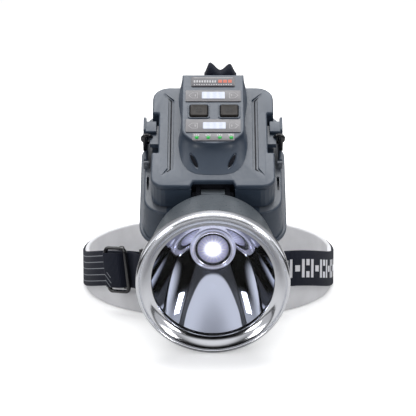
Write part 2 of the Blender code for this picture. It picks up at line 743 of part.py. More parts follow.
def band_height(angle):
    """How far the band's lower edge has risen at an angle in degrees from the back."""
    return BAND_LOW + BAND_RISE * smooth_step((abs(angle) - 84.0) / 66.0)


def bracket_point(angle, radius, height=0.0):
    """A point at an angle from the back on a circle about the headband's centre line."""
    a = math.radians(angle)
    return (radius * math.sin(a) + BAND_SHIFT, radius * math.cos(a), height)


def band_point(angle, offset=0.0):
    """The band's lower edge at an angle from the back, positive to the right, offset outwards.

    It follows the liner, stands off it ahead of the ears, and meets the bracket's circle at the forehead."""
    a = math.radians(angle)
    clear = GAP + BAND_THICKNESS / 2 + offset + 2.7 * smooth_step((abs(angle) - 98.0) / 24.0)
    height = band_height(angle)
    along = Vector(((LINER_A + clear) * math.sin(a) + BAND_SHIFT, (LINER_B + clear) * math.cos(a), height))
    inner = BRACKET_RADIUS - BRACKET_WALL / 2 - 0.5 - BAND_THICKNESS / 2
    on_bracket = Vector(bracket_point(angle, inner + offset, height))
    return along.lerp(on_bracket, smooth_step((abs(angle) - 137.0) / 12.0))


def band_turn(side, outer_end, count):
    """The hairpin round a bracket bar: from the inner run through the slot and back outside to outer_end."""
    slot = 180.0 - SLOT_ANGLE
    height = band_height(slot)
    reach = BRACKET_RADIUS + BRACKET_WALL / 2 + 0.9 + BAND_THICKNESS / 2
    inner = BRACKET_RADIUS - BRACKET_WALL / 2 - 0.5 - BAND_THICKNESS / 2
    bends = ((0.0, inner), (0.6, inner + 1.0), (0.8, BRACKET_RADIUS), (0.4, reach - 0.7), (-0.7, reach))
    points = [bracket_point(side * (slot + turn), radius, height) for turn, radius in bends]
    for k in range(1, count + 1):
        angle = slot - 0.6 + (outer_end - slot + 0.6) * k / count
        settle = smooth_step((slot - 3.6 - angle) / 7.0)
        free = Vector(bracket_point(side * angle, reach, height))
        points.append(free.lerp(Vector(band_point(side * angle, 2.3)), settle))
    return points


def make_headband():
    run = [band_point(angle) for angle in range(-153, 154, 6)]
    left = band_turn(-1, BUCKLE_ANGLE - 3.2, 8)
    right = band_turn(1, 143.0, 5)
    ribbon("headband", [*reversed(left), *run, *right], (0, 0, BAND_WIDTH), BAND_THICKNESS, "webbing")
    loop = []
    for k in range(72):
        a = 2 * math.pi * k / 72
        x = (LINER_A - LINER_WALL / 2) * math.sin(a) + BAND_SHIFT
        loop.append((x, (LINER_B - LINER_WALL / 2) * math.cos(a), 0.0))
    ribbon("headband_liner", loop, (0, 0, LINER_HEIGHT), LINER_WALL, "liner_foam", closed=True)


def make_buckle():
    """A slider that holds the two layers of the band on the left side."""
    x, y, z = band_point(-BUCKLE_ANGLE, 1.15)
    ahead = Vector(band_point(-BUCKLE_ANGLE - 2, 1.15)) - Vector(band_point(-BUCKLE_ANGLE + 2, 1.15))
    axis = bpy.data.objects.new("buckle_frame", None)
    PARTS.objects.link(axis)
    axis.location = vec(x, y, z + BAND_WIDTH / 2)
    axis.rotation_euler = ahead.to_track_quat("X", "Z").to_euler()
    buckle = box("headband_buckle", (-9.8, -5.3, -16.2), (9.8, 4.5, 16.2), axis, "black_plastic")
    return cut(buckle, box("buckle_slot", (-12, -4.0, -14.6), (12, 3.4, 14.6), axis))


def make_bracket(frame):
    """The curved forehead plate with a slot for the band at each end, and the flange under the case."""
    low, high, reach = 15.9, 53.0, SLOT_ANGLE + 5.4
    arc = [bracket_point(180 + reach - 2 * reach * k / 24, BRACKET_RADIUS, low) for k in range(25)]
    bracket = ribbon("forehead_bracket", arc, (0, 0, high - low), BRACKET_WALL, "black_plastic")
    for side in (-1, 1):
        angle = 180 - side * (SLOT_ANGLE - 0.4)
        axis = bpy.data.objects.new(f"slot_frame_{side}", None)
        PARTS.objects.link(axis)
        axis.location = vec(*bracket_point(angle, BRACKET_RADIUS))
        axis.rotation_euler = (0.0, 0.0, -math.radians(angle))
        cut(bracket, box(f"band_slot_{side}", (-2.9, -5, 17.9), (2.5, 5, 45.4), axis))
    for side in (-1, 1):
        span = sorted((side * 30.0, side * 60.0))
        cut(bracket, box(f"end_trim_{side}", (span[0], -95, 46.9), (span[1], -20, 60)))
    flange_top = TRAY_BOTTOM - 2 * GAP - BASE_THICKNESS
    flange = box("bracket_flange", (-26, -3.4, flange_top - 3.2), (26, 30, flange_top), frame, None, 4.0, 3)
    join(bracket, flange)
    drill(bracket, BRACKET_SCREWS, 1.5, flange_top - 5, flange_top + 2, frame)
    for index, (x, y) in enumerate(BRACKET_SCREWS):
        screw(f"bracket_screw_{index + 1}", x, y, flange_top - 3.2 - GAP, 8.6, frame, -1)
    return bracket


def make_pads(frame):
    pad_wall, reach = 4.0, 22.0
    radius = BRACKET_RADIUS - BRACKET_WALL / 2 - GAP - pad_wall / 2
    arc = [bracket_point(180 + reach - 2 * reach * k / 16, radius, 27.6) for k in range(17)]
    ribbon("forehead_pad", arc, (0, 0, 20.4), pad_wall, "pad_foam")
    under = TRAY_BOTTOM - 2 * GAP - BASE_THICKNESS
    box("crown_pad", (-30, 34.0, under - 6.0), (30, 82.0, under), frame, "pad_foam", 8.0, 4)


# ---------------------------------------------------------------- top strap


def make_top_strap():
    """The strap over the head, from the bar behind the case down to the back of the band."""
    turn = [(110.1, 1.8), (106.3, 0.0), (102.3, 0.8), (99.7, 2.8), (99.6, 6.4), (101.9, 10.6)]
    near = [case_to_world(*p) for p in [*turn, (105.6, 13.0), (110.2, 11.6)]]
    far = [(-14.0, 153.0), (0.0, 145.0), (20.0, 133.5), (40.0, 116.5), (58.0, 93.5)]
    far += [(72.0, 66.0), (81.6, 44.0), (88.9, 26.0), (89.4, 8.0)]
    shift, half = 5.0, 11.0
    route = on_curve([(0.0, *p) for p in near + far], 64)
    points = []
    for p in route:
        share = smooth_step((p.y + 20.0) / 100.0)
        drift = shift * (1 - share) + BAND_SHIFT * share
        points.append((drift - half, p.y, p.z))
    ribbon("top_strap", points, (2 * half, 0, 0), 1.3, "webbing")


def make_top_strap_fittings():
    """A slider halfway along the top strap, and the plate that joins the strap to the back of the band."""
    axis = bpy.data.objects.new("adjuster_frame", None)
    PARTS.objects.link(axis)
    axis.location = vec(0.9, 29.9, 125.4)
    axis.rotation_euler = (math.radians(-37.0), 0.0, 0.0)
    adjuster = box("top_strap_adjuster", (-14.0, -7.0, -2.4), (14.0, 7.0, 2.4), axis, "black_plastic")
    cut(adjuster, box("adjuster_slot", (-12.2, -9, -1.2), (12.2, 9, 1.2), axis))
    x = BAND_SHIFT
    box("rear_slider", (x - 15, 86.0, 3.0), (x + 15, 88.3, 24.0), None, "black_plastic")


# ---------------------------------------------------------------- assembly

clear_scene()
PARTS = bpy.data.collections.new("headlamp")
CUTTERS = bpy.data.collections.new("cutters")
bpy.context.scene.collection.children.link(PARTS)
bpy.context.scene.collection.children.link(CUTTERS)
MATERIAL = make_materials()

case_frame = add_frame("case_frame", CASE_ORIGIN, CASE_PITCH)
pivot_y, pivot_z = case_to_world(*PIVOT)
tilt_axis = add_frame("tilt_axis", (0, pivot_y, pivot_z))
head_place = (0, HEAD_ORIGIN[1] - pivot_y, HEAD_ORIGIN[2] - pivot_z)
head_frame = add_frame("head_frame", head_place, 90 + HEAD_PITCH, tilt_axis)

make_case(case_frame)
make_hump(case_frame)
make_panel(case_frame)
make_electrics(case_frame)
make_latches(case_frame)
make_port(case_frame)
make_strap_bar(case_frame)
make_hinge(case_frame)
make_optics(head_frame)
make_light_source(head_frame)
make_neck(head_frame)
make_headband()
make_buckle()
make_bracket(case_frame)
make_pads(case_frame)
make_top_strap()
make_top_strap_fittings()
stand([*PARTS.objects, *CUTTERS.objects], ORIGIN_SHIFT)
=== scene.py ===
import json
import math

import bmesh
import bpy
from mathutils import Matrix, Vector


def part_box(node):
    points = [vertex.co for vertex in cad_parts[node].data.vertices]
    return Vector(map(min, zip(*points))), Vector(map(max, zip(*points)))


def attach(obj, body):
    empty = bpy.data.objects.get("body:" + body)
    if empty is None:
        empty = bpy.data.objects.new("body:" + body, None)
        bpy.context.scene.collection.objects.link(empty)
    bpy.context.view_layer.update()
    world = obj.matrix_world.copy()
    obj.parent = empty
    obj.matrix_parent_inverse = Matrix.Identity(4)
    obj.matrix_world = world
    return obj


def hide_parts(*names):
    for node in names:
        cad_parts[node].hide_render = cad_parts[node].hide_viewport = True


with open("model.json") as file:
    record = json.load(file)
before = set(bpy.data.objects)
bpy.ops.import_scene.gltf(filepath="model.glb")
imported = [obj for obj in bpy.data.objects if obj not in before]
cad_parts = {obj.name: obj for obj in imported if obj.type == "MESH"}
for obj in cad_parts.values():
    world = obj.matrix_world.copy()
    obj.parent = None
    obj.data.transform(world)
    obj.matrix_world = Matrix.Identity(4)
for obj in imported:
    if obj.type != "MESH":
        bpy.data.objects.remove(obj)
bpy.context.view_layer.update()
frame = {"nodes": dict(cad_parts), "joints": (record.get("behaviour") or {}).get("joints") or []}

# ---------------------------------------------------------------- frames and driving sizes, in millimetres

MM = 0.001
ROOT = "case_and_headband"
HEAD = "lamp_head"
JOINTS = {joint["name"]: joint for joint in frame["joints"]}
PIVOT = Vector(JOINTS["head_tilt"]["pos_m"])
RIGHT = Vector((1, 0, 0))
CASE_UP = -Vector(JOINTS["left_button_press"]["axis"]).normalized()
CASE_BACK = Vector(JOINTS["right_latch_hinge"]["axis"]).normalized()
PIVOT_IN_CASE = (0.0, 2.0, -12.5)
HEAD_TURN = math.radians(100.0)
PIVOT_IN_HEAD = (0.0, 29.5, -69.9)

HALF_WIDTH = 40.75
LENGTH = 97.0
LID = 3.4
NOTCH = (13.2, 15.2, 4.9)
POCKET = (32.4, 71.0, 36.35)
RIM_TOP = -20.2
TRAY_BOTTOM = -46.0
TRAY_MIDDLE = 43.6
HUMP_HEIGHT = 11.6
PANEL_TOP = HUMP_HEIGHT + 0.2
FILM_TOP = PANEL_TOP + 0.5
BUTTON_Y = 59.7
BUTTON_X = (-9.45, 10.8)
BUTTON_HALF = (5.75, 5.5)
INDICATOR_X = (-10.7, -3.1, 4.5, 12.1)
LATCH_X = 44.6
LATCH_Z = -17.2

BAND_WIDTH = 25.0
BAND_THICKNESS = 1.4
LINER_A = 87.0
LINER_B = 83.5
LINER_HEIGHT = 27.0
LINER_WALL = 3.0
BAND_LOW = 0.5
BAND_RISE = 18.5
BRACKET_RADIUS = 90.0
BRACKET_WALL = 3.0
SLOT_ANGLE = 25.0
BUCKLE_ANGLE = 139.5
BUCKLE_SIZE = (19.6, 32.4)
INNER_LAYER = BRACKET_RADIUS - BRACKET_WALL / 2 - 0.5 - BAND_THICKNESS / 2
OUTER_LAYER = BRACKET_RADIUS + BRACKET_WALL / 2 + 0.9 + BAND_THICKNESS / 2
SECOND_LAYER = 2.3
FOLD_WIDTH = 23.8
TOP_STRAP_WIDTH = 22.0
TOP_STRAP_DRIFT = 8.3


def turned_frame(x_axis, y_axis, z_axis, point, local):
    """The frame with these axes in which the row's point has the local millimetre coordinates."""
    turn = Matrix((x_axis, y_axis, z_axis)).transposed()
    origin = Vector(point) - turn @ (Vector(local) * MM)
    return Matrix.Translation(origin) @ turn.to_4x4()


CASE = turned_frame(RIGHT, CASE_BACK, CASE_UP, PIVOT, PIVOT_IN_CASE)
beam_up = Vector((0, math.cos(HEAD_TURN), math.sin(HEAD_TURN)))
beam = Vector((0, -math.sin(HEAD_TURN), math.cos(HEAD_TURN)))
LAMP = turned_frame(RIGHT, beam_up, beam, PIVOT, PIVOT_IN_HEAD)
liner_low, liner_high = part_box("headband_liner")
BAND = Matrix.Translation(((liner_low.x + liner_high.x) / 2, (liner_low.y + liner_high.y) / 2, 0.0))

# ---------------------------------------------------------------- camera, floor and light, in metres

CAMERA_ELEVATION = math.radians(16.0)
CAMERA_DISTANCE = 1.6
CAMERA_LENS = 195.0
CAMERA_NOD = math.radians(1.485)
CAMERA_YAW = math.radians(0.127)
AIM_HEIGHT = 0.0125

FLOOR_HALF = 5.0
FLOOR_DROP = 0.0004
FLOOR_SEEN = 0.92
FLOOR_NEAR = 0.6
FLOOR_FAR = 0.02
FLOOR_GLOW = 0.35
PAPER_SIDE = (0.20, 0.24)
PAPER_FRONT = (-0.30, -0.34)

WORLD_ON_MATT = 0.45
WORLD_LOBES = (
    ("Z", 0.36, 0.66, 0.85),
    ("Y", 0.0, 0.7, 0.3),
    ("X", 0.45, 0.8, 0.5),
    ("X", -0.45, -0.8, 0.5),
)
CENTRE = (0.0, -0.02, 0.08)
HEAD_FRONT = (0.0, -0.1, 0.05)
LIGHTS = (
    ("overhead", (0.0, 0.35, 1.25), CENTRE, (1.4, 0.9), 16.0),
    ("left_strip", (-1.25, -0.1, 0.7), CENTRE, (0.3, 1.3), 2.0),
    ("right_strip", (1.25, -0.1, 0.7), CENTRE, (0.3, 1.3), 2.0),
    ("front_fill", (0.0, -1.3, 0.45), (0.0, 0.0, 0.06), (1.2, 0.8), 2.6),
    ("left_card", (-0.72, -0.95, 0.28), HEAD_FRONT, (0.3, 0.22), 2.0),
    ("right_card", (0.72, -0.95, 0.28), HEAD_FRONT, (0.3, 0.22), 2.0),
)
NOT_MIRRORED = ("front_fill",)


def make_camera():
    aim = Vector((PIVOT.x, BAND.translation.y, AIM_HEIGHT))
    back = Vector((0, -math.cos(CAMERA_ELEVATION), math.sin(CAMERA_ELEVATION)))
    camera = bpy.data.objects.new("camera", bpy.data.cameras.new("camera"))
    bpy.context.scene.collection.objects.link(camera)
    camera.data.lens = CAMERA_LENS
    camera.data.sensor_width = 36.0
    camera.data.clip_end = 50.0
    camera.location = aim + back * CAMERA_DISTANCE
    look = (-back).to_track_quat("-Z", "Y").to_matrix()
    nod = Matrix.Rotation(CAMERA_NOD, 3, "X")
    yaw = Matrix.Rotation(CAMERA_YAW, 3, "Y")
    camera.rotation_euler = (look @ yaw @ nod).to_euler()
    bpy.context.scene.camera = camera


def make_light(name, location, aim, size, power):
    light = bpy.data.lights.new(name, "AREA")
    light.shape = "RECTANGLE"
    light.size, light.size_y = size
    light.energy = power
    lamp = bpy.data.objects.new(name, light)
    bpy.context.scene.collection.objects.link(lamp)
    lamp.location = location
    lamp.rotation_euler = (Vector(aim) - Vector(location)).to_track_quat("-Z", "Y").to_euler()
    lamp.visible_glossy = name not in NOT_MIRRORED
    lamp.visible_transmission = name not in NOT_MIRRORED


def make_stage():
    bm = bmesh.new()
    bmesh.ops.create_grid(bm, x_segments=1, y_segments=1, size=FLOOR_HALF)
    mesh = bpy.data.meshes.new("floor")
    bm.to_mesh(mesh)
    bm.free()
    floor = bpy.data.objects.new("floor", mesh)
    bpy.context.scene.collection.objects.link(floor)
    floor.location = (0, 0, -FLOOR_DROP)
    mesh.materials.append(floor_material())
    make_world()
    for light in LIGHTS:
        make_light(*light)
    bpy.context.scene.view_settings.view_transform = "Standard"
    bpy.context.scene.view_settings.look = "None"


def floor_material():
    """Pale paper: white to the eye, and darker in what it throws back onto the lamp."""
    glow = {"Emission_Color": (0.985, 0.99, 1.0, 1.0)}
    paint = Paint("floor", (0.8, 0.8, 0.8), 0.8, Specular_IOR_Level=0.1, **glow)
    seen = paint.node("ShaderNodeLightPath").outputs["Is Camera Ray"]
    place = paint.split("Object")
    sideways = paint.spread(paint.math("ABSOLUTE", place["X"]), *PAPER_SIDE, 1.0, 0.0, smooth=True)
    ahead = paint.spread(place["Y"], *PAPER_FRONT, 1.0, 0.0, smooth=True)
    bounce = paint.spread(paint.product(sideways, ahead), 0.0, 1.0, FLOOR_FAR, FLOOR_NEAR)
    paint.link(paint.choose(seen, bounce, FLOOR_SEEN), paint.shader.inputs["Base Color"])
    paint.link(paint.product(seen, FLOOR_GLOW), paint.shader.inputs["Emission Strength"])
    return paint.material


def make_world():
    """White to the eye; in reflections bright overhead, behind and at the sides, and dark in front."""
    world = bpy.data.worlds.new("studio")
    bpy.context.scene.world = world
    world.use_nodes = True
    world.node_tree.nodes.clear()
    graph = Graph(world.node_tree)
    ray = graph.node("ShaderNodeLightPath").outputs
    place = graph.split("Generated")
    total = 0.0
    for axis, low, high, strength in WORLD_LOBES:
        total = graph.math("ADD", total, graph.spread(place[axis], low, high, 0.0, strength, smooth=True))
    scaled = graph.product(total, graph.spread(ray["Is Diffuse Ray"], 0.0, 1.0, 1.0, WORLD_ON_MATT))
    tint = graph.node("ShaderNodeBackground")
    tint.inputs["Color"].default_value = (0.97, 0.98, 1.0, 1)
    graph.link(graph.choose(ray["Is Camera Ray"], scaled, 1.0), tint.inputs["Strength"])
    graph.link(tint.outputs[0], graph.node("ShaderNodeOutputWorld").inputs[0])


# ---------------------------------------------------------------- materials


class Graph:
    """Short calls for the node patterns that this scene uses, on one node tree."""

    def __init__(self, tree):
        self.tree = tree

    def node(self, kind, **values):
        made = self.tree.nodes.new(kind)
        for key, value in values.items():
            setattr(made, key, value)
        return made

    def link(self, a, b):
        self.tree.links.new(a, b)

    def plug(self, value, socket):
        if isinstance(value, (int, float)):
            socket.default_value = value
        else:
            self.link(value, socket)

    def coords(self, source="Object", scale=(1, 1, 1)):
        place = self.node("ShaderNodeTexCoord")
        mapping = self.node("ShaderNodeMapping")
        mapping.inputs["Scale"].default_value = scale
        self.link(place.outputs[source], mapping.inputs["Vector"])
        return mapping.outputs[0]

    def split(self, source):
        parts = self.node("ShaderNodeSeparateXYZ")
        self.link(self.coords(source), parts.inputs[0])
        return parts.outputs

    def noise(self, scale, detail=3.0, stretch=(1, 1, 1)):
        made = self.node("ShaderNodeTexNoise")
        made.inputs["Scale"].default_value = scale
        made.inputs["Detail"].default_value = detail
        self.link(self.coords("Object", stretch), made.inputs["Vector"])
        return made.outputs["Fac"]

    def math(self, operation, a, b=0.0):
        made = self.node("ShaderNodeMath", operation=operation)
        self.plug(a, made.inputs[0])
        self.plug(b, made.inputs[1])
        return made.outputs[0]

    def product(self, first, *others):
        for other in others:
            first = self.math("MULTIPLY", first, other)
        return first

    def spread(self, factor, low, high, to_low=0.0, to_high=1.0, smooth=False):
        made = self.node("ShaderNodeMapRange", interpolation_type="SMOOTHSTEP" if smooth else "LINEAR")
        for key, value in (("From Min", low), ("From Max", high), ("To Min", to_low), ("To Max", to_high)):
            made.inputs[key].default_value = value
        self.link(factor, made.inputs["Value"])
        return made.outputs[0]

    def choose(self, factor, a, b):
        made = self.node("ShaderNodeMix")
        self.link(factor, made.inputs["Factor"])
        self.plug(a, made.inputs["A"])
        self.plug(b, made.inputs["B"])
        return made.outputs["Result"]


class Paint(Graph):
    """A Principled material under construction."""

    def __init__(self, name, colour, roughness, metallic=0.0, **sockets):
        self.material = bpy.data.materials.new(name)
        self.material.use_nodes = True
        super().__init__(self.material.node_tree)
        self.shader = self.tree.nodes["Principled BSDF"]
        self.colour = (*colour, 1.0)
        self.shader.inputs["Base Color"].default_value = self.colour
        self.shader.inputs["Roughness"].default_value = roughness
        self.shader.inputs["Metallic"].default_value = metallic
        for key, value in sockets.items():
            self.shader.inputs[key.replace("_", " ")].default_value = value
        self.bump = None

    def mix(self, factor, other, base=None):
        """The shader's colour goes over to another where factor is 1."""
        made = self.node("ShaderNodeMix", data_type="RGBA")
        self.link(factor, made.inputs["Factor"])
        if base is None:
            made.inputs["A"].default_value = self.colour
        else:
            self.link(base, made.inputs["A"])
        made.inputs["B"].default_value = (*other, 1.0)
        self.link(made.outputs["Result"], self.shader.inputs["Base Color"])
        return made.outputs["Result"]

    def rough(self, factor, low, high):
        self.link(self.spread(factor, 0.3, 0.7, low, high), self.shader.inputs["Roughness"])

    def relief(self, height, distance, strength=1.0):
        made = self.node("ShaderNodeBump")
        made.inputs["Strength"].default_value = strength
        made.inputs["Distance"].default_value = distance
        self.link(height, made.inputs["Height"])
        if self.bump is not None:
            self.link(self.bump, made.inputs["Normal"])
        self.bump = made.outputs[0]
        self.link(self.bump, self.shader.inputs["Normal"])


def moulded(name, colour, roughness=0.42, grain=0.00004, **sockets):
    """Moulded plastic: fine spark-eroded grain, faint colour drift and slightly polished high spots."""
    paint = Paint(name, colour, roughness, **sockets)
    lighter = tuple(min(1.0, channel * 1.14 + 0.006) for channel in colour)
    paint.mix(paint.spread(paint.noise(35.0, 4.0), 0.35, 0.7), lighter)
    paint.rough(paint.noise(420.0, 2.0), roughness - 0.05, roughness + 0.07)
    paint.relief(paint.noise(2600.0, 2.0), grain, 0.55)
    return paint.material


def metal(name, colour, roughness, brush=(1, 1, 1), depth=0.00001, **sockets):
    """Metal with fine streaks along the direction in which brush is large."""
    paint = Paint(name, colour, roughness, 1.0, **sockets)
    streak = paint.noise(900.0, 3.0, brush)
    paint.rough(streak, roughness - 0.04, roughness + 0.06)
    paint.relief(streak, depth, 0.3)
    return paint.material


def mirror(name, colour):
    """Evaporated aluminium: a clean mirror with a trace of haze in broad patches."""
    paint = Paint(name, colour, 0.02, 1.0)
    haze = paint.noise(25.0, 3.0)
    paint.link(paint.spread(haze, 0.4, 0.8, 0.015, 0.05), paint.shader.inputs["Roughness"])
    return paint.material


def knitted(name, colour, stripe=None, diagonal=None):
    """Knitted elastic: ribs across the band every millimetre and fine stitches, from UVs in metres."""
    paint = Paint(name, colour, 0.8, Sheen_Weight=0.06, Sheen_Roughness=0.5, Specular_IOR_Level=0.2)
    place = paint.split("UV")
    along, across = place[0], place[1]
    ribs = paint.math("SINE", paint.product(along, 2 * math.pi / RIB_PITCH))
    rows = paint.math("SINE", paint.product(across, 2 * math.pi / ROW_PITCH))
    knit = paint.math("ADD", ribs, paint.product(rows, 0.55))
    fuzz = paint.noise(1800.0, 3.0)
    # The raised ribs and random fuzz shift the colour lighter: partly painted highlight on the rib crests,
    # partly random fibre tone.
    rib_highlight_and_fibre_tone = paint.math("ADD", paint.product(knit, 0.22), fuzz)
    lighter = tuple(channel * 1.8 + 0.004 for channel in colour)
    base = paint.mix(paint.spread(rib_highlight_and_fibre_tone, 0.35, 1.0), lighter)
    if stripe:
        low, high, lines = stripe
        nearest = None
        for line in lines:
            gap = paint.math("ABSOLUTE", paint.math("SUBTRACT", across, line))
            nearest = gap if nearest is None else paint.math("MINIMUM", nearest, gap)
        thread = paint.math("LESS_THAN", nearest, STRIPE_HALF)
        begun = paint.math("GREATER_THAN", along, low)
        not_over = paint.math("LESS_THAN", along, high)
        mask = paint.product(thread, begun, not_over, paint.spread(ribs, -1.0, 1.0, 0.45, 1.0))
        paint.mix(mask, STRIPE_GREY, base)
    if diagonal:
        pitch, tall, long = diagonal
        slope = paint.math("ADD", along, paint.product(across, 0.9))
        turns = paint.math("FRACT", paint.math("DIVIDE", slope, pitch))
        phase = paint.math("ABSOLUTE", paint.math("SUBTRACT", turns, 0.5))
        inside = (paint.math("LESS_THAN", across, tall), paint.math("LESS_THAN", along, long))
        mask = paint.product(paint.math("LESS_THAN", phase, 0.075), *inside, 0.8)
        paint.mix(mask, STRIPE_GREY, base)
    paint.relief(knit, 0.00012, 0.8)
    paint.relief(fuzz, 0.0001, 0.5)
    return paint.material


def foam(name, colour):
    """Skinned foam: soft mottling and a fine open-cell surface."""
    paint = Paint(name, colour, 0.8, Sheen_Weight=0.25, Sheen_Roughness=0.6, Specular_IOR_Level=0.3)
    mottle = paint.noise(60.0, 4.0)
    paint.mix(paint.spread(mottle, 0.3, 0.75), tuple(channel * 0.86 for channel in colour))
    cells = paint.node("ShaderNodeTexVoronoi")
    cells.inputs["Scale"].default_value = 1100.0
    paint.link(paint.coords(), cells.inputs["Vector"])
    paint.relief(cells.outputs["Distance"], 0.00010, 0.6)
    paint.relief(paint.noise(90.0, 2.0), 0.0004, 0.35)
    return paint.material


def glowing(name, colour, glow, strength, roughness=0.2):
    return Paint(name, colour, roughness, Emission_Color=(*glow, 1.0), Emission_Strength=strength)


def display_glass(name):
    """A lit segment display under a milky window, with faint figure fields."""
    paint = glowing(name, (0.26, 0.28, 0.33), (0.84, 0.88, 1.0), 0.42)
    wave = paint.math("SINE", paint.product(paint.split("Object")[0], 2 * math.pi / FIGURE_PITCH))
    haze = paint.math("ADD", paint.product(wave, 0.25), paint.noise(700.0, 2.0))
    paint.mix(paint.spread(haze, 0.2, 0.9), (0.14, 0.17, 0.24))
    return paint.material


def led_glow(name):
    """The lit emitter: white in the middle, falling to lavender with fine rays towards the rim."""
    paint = glowing(name, (0.7, 0.7, 0.85), (1, 1, 1), 1.0, 0.1)
    place = paint.split("Object")
    x, y = place[0], place[1]
    radius = paint.math("SQRT", paint.math("ADD", paint.product(x, x), paint.product(y, y)))
    angle = paint.math("ARCTAN2", y, x)
    rays = [paint.math("SINE", paint.product(angle, count)) for count in (22.0, 37.0)]
    star = paint.product(paint.math("ADD", *rays), RAY_REACH)
    reach = paint.math("ADD", radius, star)
    ramp = paint.node("ShaderNodeValToRGB")
    stops = ramp.color_ramp.elements
    stops[0].color = (1, 1, 1, 1)
    stops[1].color = (0.10, 0.09, 0.17, 1)
    for position, red, blue in ((0.22, 1.0, 1.0), (0.42, 0.78, 1.0), (0.66, 0.46, 0.70)):
        stops.new(position).color = (red, red, blue, 1)
    paint.link(paint.spread(reach, 0.0, EMITTER_RADIUS), ramp.inputs["Fac"])
    paint.link(ramp.outputs["Color"], paint.shader.inputs["Emission Color"])
    paint.link(paint.spread(reach, 0.001, 0.0055, 4.0, 0.45), paint.shader.inputs["Emission Strength"])
    return paint.material


def lens_glass(name):
    paint = Paint(name, (0.98, 0.99, 1.0), 0.0, Transmission_Weight=1.0, IOR=1.15)
    smear = paint.noise(40.0, 3.0)
    paint.link(paint.spread(smear, 0.45, 0.8, 0.0, 0.02), paint.shader.inputs["Roughness"])
    return paint.material


RIB_PITCH = 0.0011
ROW_PITCH = 0.0009
STRIPE_HALF = 0.00026
STRIPE_GREY = (0.42, 0.44, 0.48)
FIGURE_PITCH = 0.0042
RAY_REACH = 0.0013
EMITTER_RADIUS = 0.0108
STRAP_NAVY = (0.006, 0.008, 0.017)
CASE_GREY = (0.030, 0.045, 0.070)
# The LED's chrome retainer ring gets a faint lavender emission: painted light from the lit emitter.
COLLAR_PAINTED_GLOW = {"Emission_Color": (0.80, 0.80, 1.0, 1.0), "Emission_Strength": 0.22}
SKIN = {
    "case": moulded("case_plastic", CASE_GREY, 0.36),
    "rim": moulded("rim_plastic", (0.105, 0.118, 0.140), 0.42),
    "shell": moulded("shell_lacquer", (0.10, 0.115, 0.13), 0.32, 0.00002, Metallic=0.5),
    "black": moulded("black_plastic", (0.012, 0.012, 0.014), 0.3),
    "matt_black": moulded("matt_black", (0.008, 0.009, 0.013), 0.7, Specular_IOR_Level=0.06),
    "gloss_black": moulded("gloss_black", (0.006, 0.006, 0.008), 0.12, 0.00001, Coat_Weight=0.5),
    "panel": moulded("panel_film", (0.125, 0.12, 0.13), 0.34, 0.00001),
    "label": moulded("label_film", (0.055, 0.052, 0.062), 0.34, 0.00001),
    "button": moulded("button_rubber", (0.019, 0.016, 0.014), 0.55, 0.00008, Specular_IOR_Level=0.22),
    "seal": moulded("seal_rubber", (0.02, 0.02, 0.022), 0.7, 0.00006),
    "white_print": moulded("white_print", (0.42, 0.42, 0.44), 0.5, 0.00001),
    "band_print": moulded("band_print", (0.70, 0.70, 0.74), 0.7, 0.00008),
    "grey_print": moulded("grey_print", (0.27, 0.265, 0.275), 0.5, 0.00001),
    "orange_print": moulded("orange_print", (0.48, 0.075, 0.03), 0.5, 0.00001),
    "chrome": metal("bezel_chrome", (0.78, 0.79, 0.83), 0.11, (1, 1, 30), 0.000003),
    "lit_chrome": metal("led_collar_painted_glow", (0.85, 0.85, 0.97), 0.2, (1, 1, 30), 0.000003, **COLLAR_PAINTED_GLOW),
    "reflector": mirror("reflector_mirror", (0.84, 0.86, 0.94)),
    "steel": metal("steel", (0.55, 0.56, 0.58), 0.3, (1, 20, 1)),
    "aluminium": metal("aluminium", (0.72, 0.73, 0.75), 0.35, (1, 1, 20)),
    "board": moulded("solder_mask", (0.01, 0.10, 0.05), 0.35),
    "cell": moulded("cell_sleeve", (0.05, 0.15, 0.42), 0.25, 0.00001),
    "display": display_glass("display_glass"),
    "glass": lens_glass("lens_glass"),
    "led": led_glow("led_glow"),
    "green": glowing("green_lamp", (0.01, 0.24, 0.03), (0.01, 0.6, 0.08), 0.35).material,
    "foam": foam("liner_foam", (0.84, 0.84, 0.87)),
    "pad": foam("pad_foam", (0.03, 0.03, 0.034)),
    "strap": knitted("strap_knit", STRAP_NAVY),
}

# ---------------------------------------------------------------- mesh helpers


def finish_piece(name, bm, skins, place, body, replaces=(), sharp=32.0):
    bmesh.ops.recalc_face_normals(bm, faces=bm.faces)
    mesh = bpy.data.meshes.new(name)
    bm.to_mesh(mesh)
    bm.free()
    for skin in [skins] if isinstance(skins, str) else skins:
        mesh.materials.append(SKIN[skin])
    mesh.shade_smooth()
    mesh.set_sharp_from_angle(angle=math.radians(sharp))
    piece = bpy.data.objects.new(name, mesh)
    bpy.context.scene.collection.objects.link(piece)
    piece.matrix_world = place
    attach(piece, body)
    if replaces:
        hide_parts(*replaces)
    return piece


def put(bm, points):
    return [bm.verts.new(Vector(point) * MM) for point in points]


def bridge(bm, lower, upper):
    count = len(lower)
    for k in range(count):
        bm.faces.new((lower[k], lower[(k + 1) % count], upper[(k + 1) % count], upper[k]))


def loft(bm, rings, closed=False):
    """Joins rings of points in turn; an open run gets a cap at each end."""
    for lower, upper in zip(rings, rings[1:]):
        bridge(bm, lower, upper)
    if closed:
        bridge(bm, rings[-1], rings[0])
        return
    bm.faces.new(list(reversed(rings[0])))
    bm.faces.new(rings[-1])


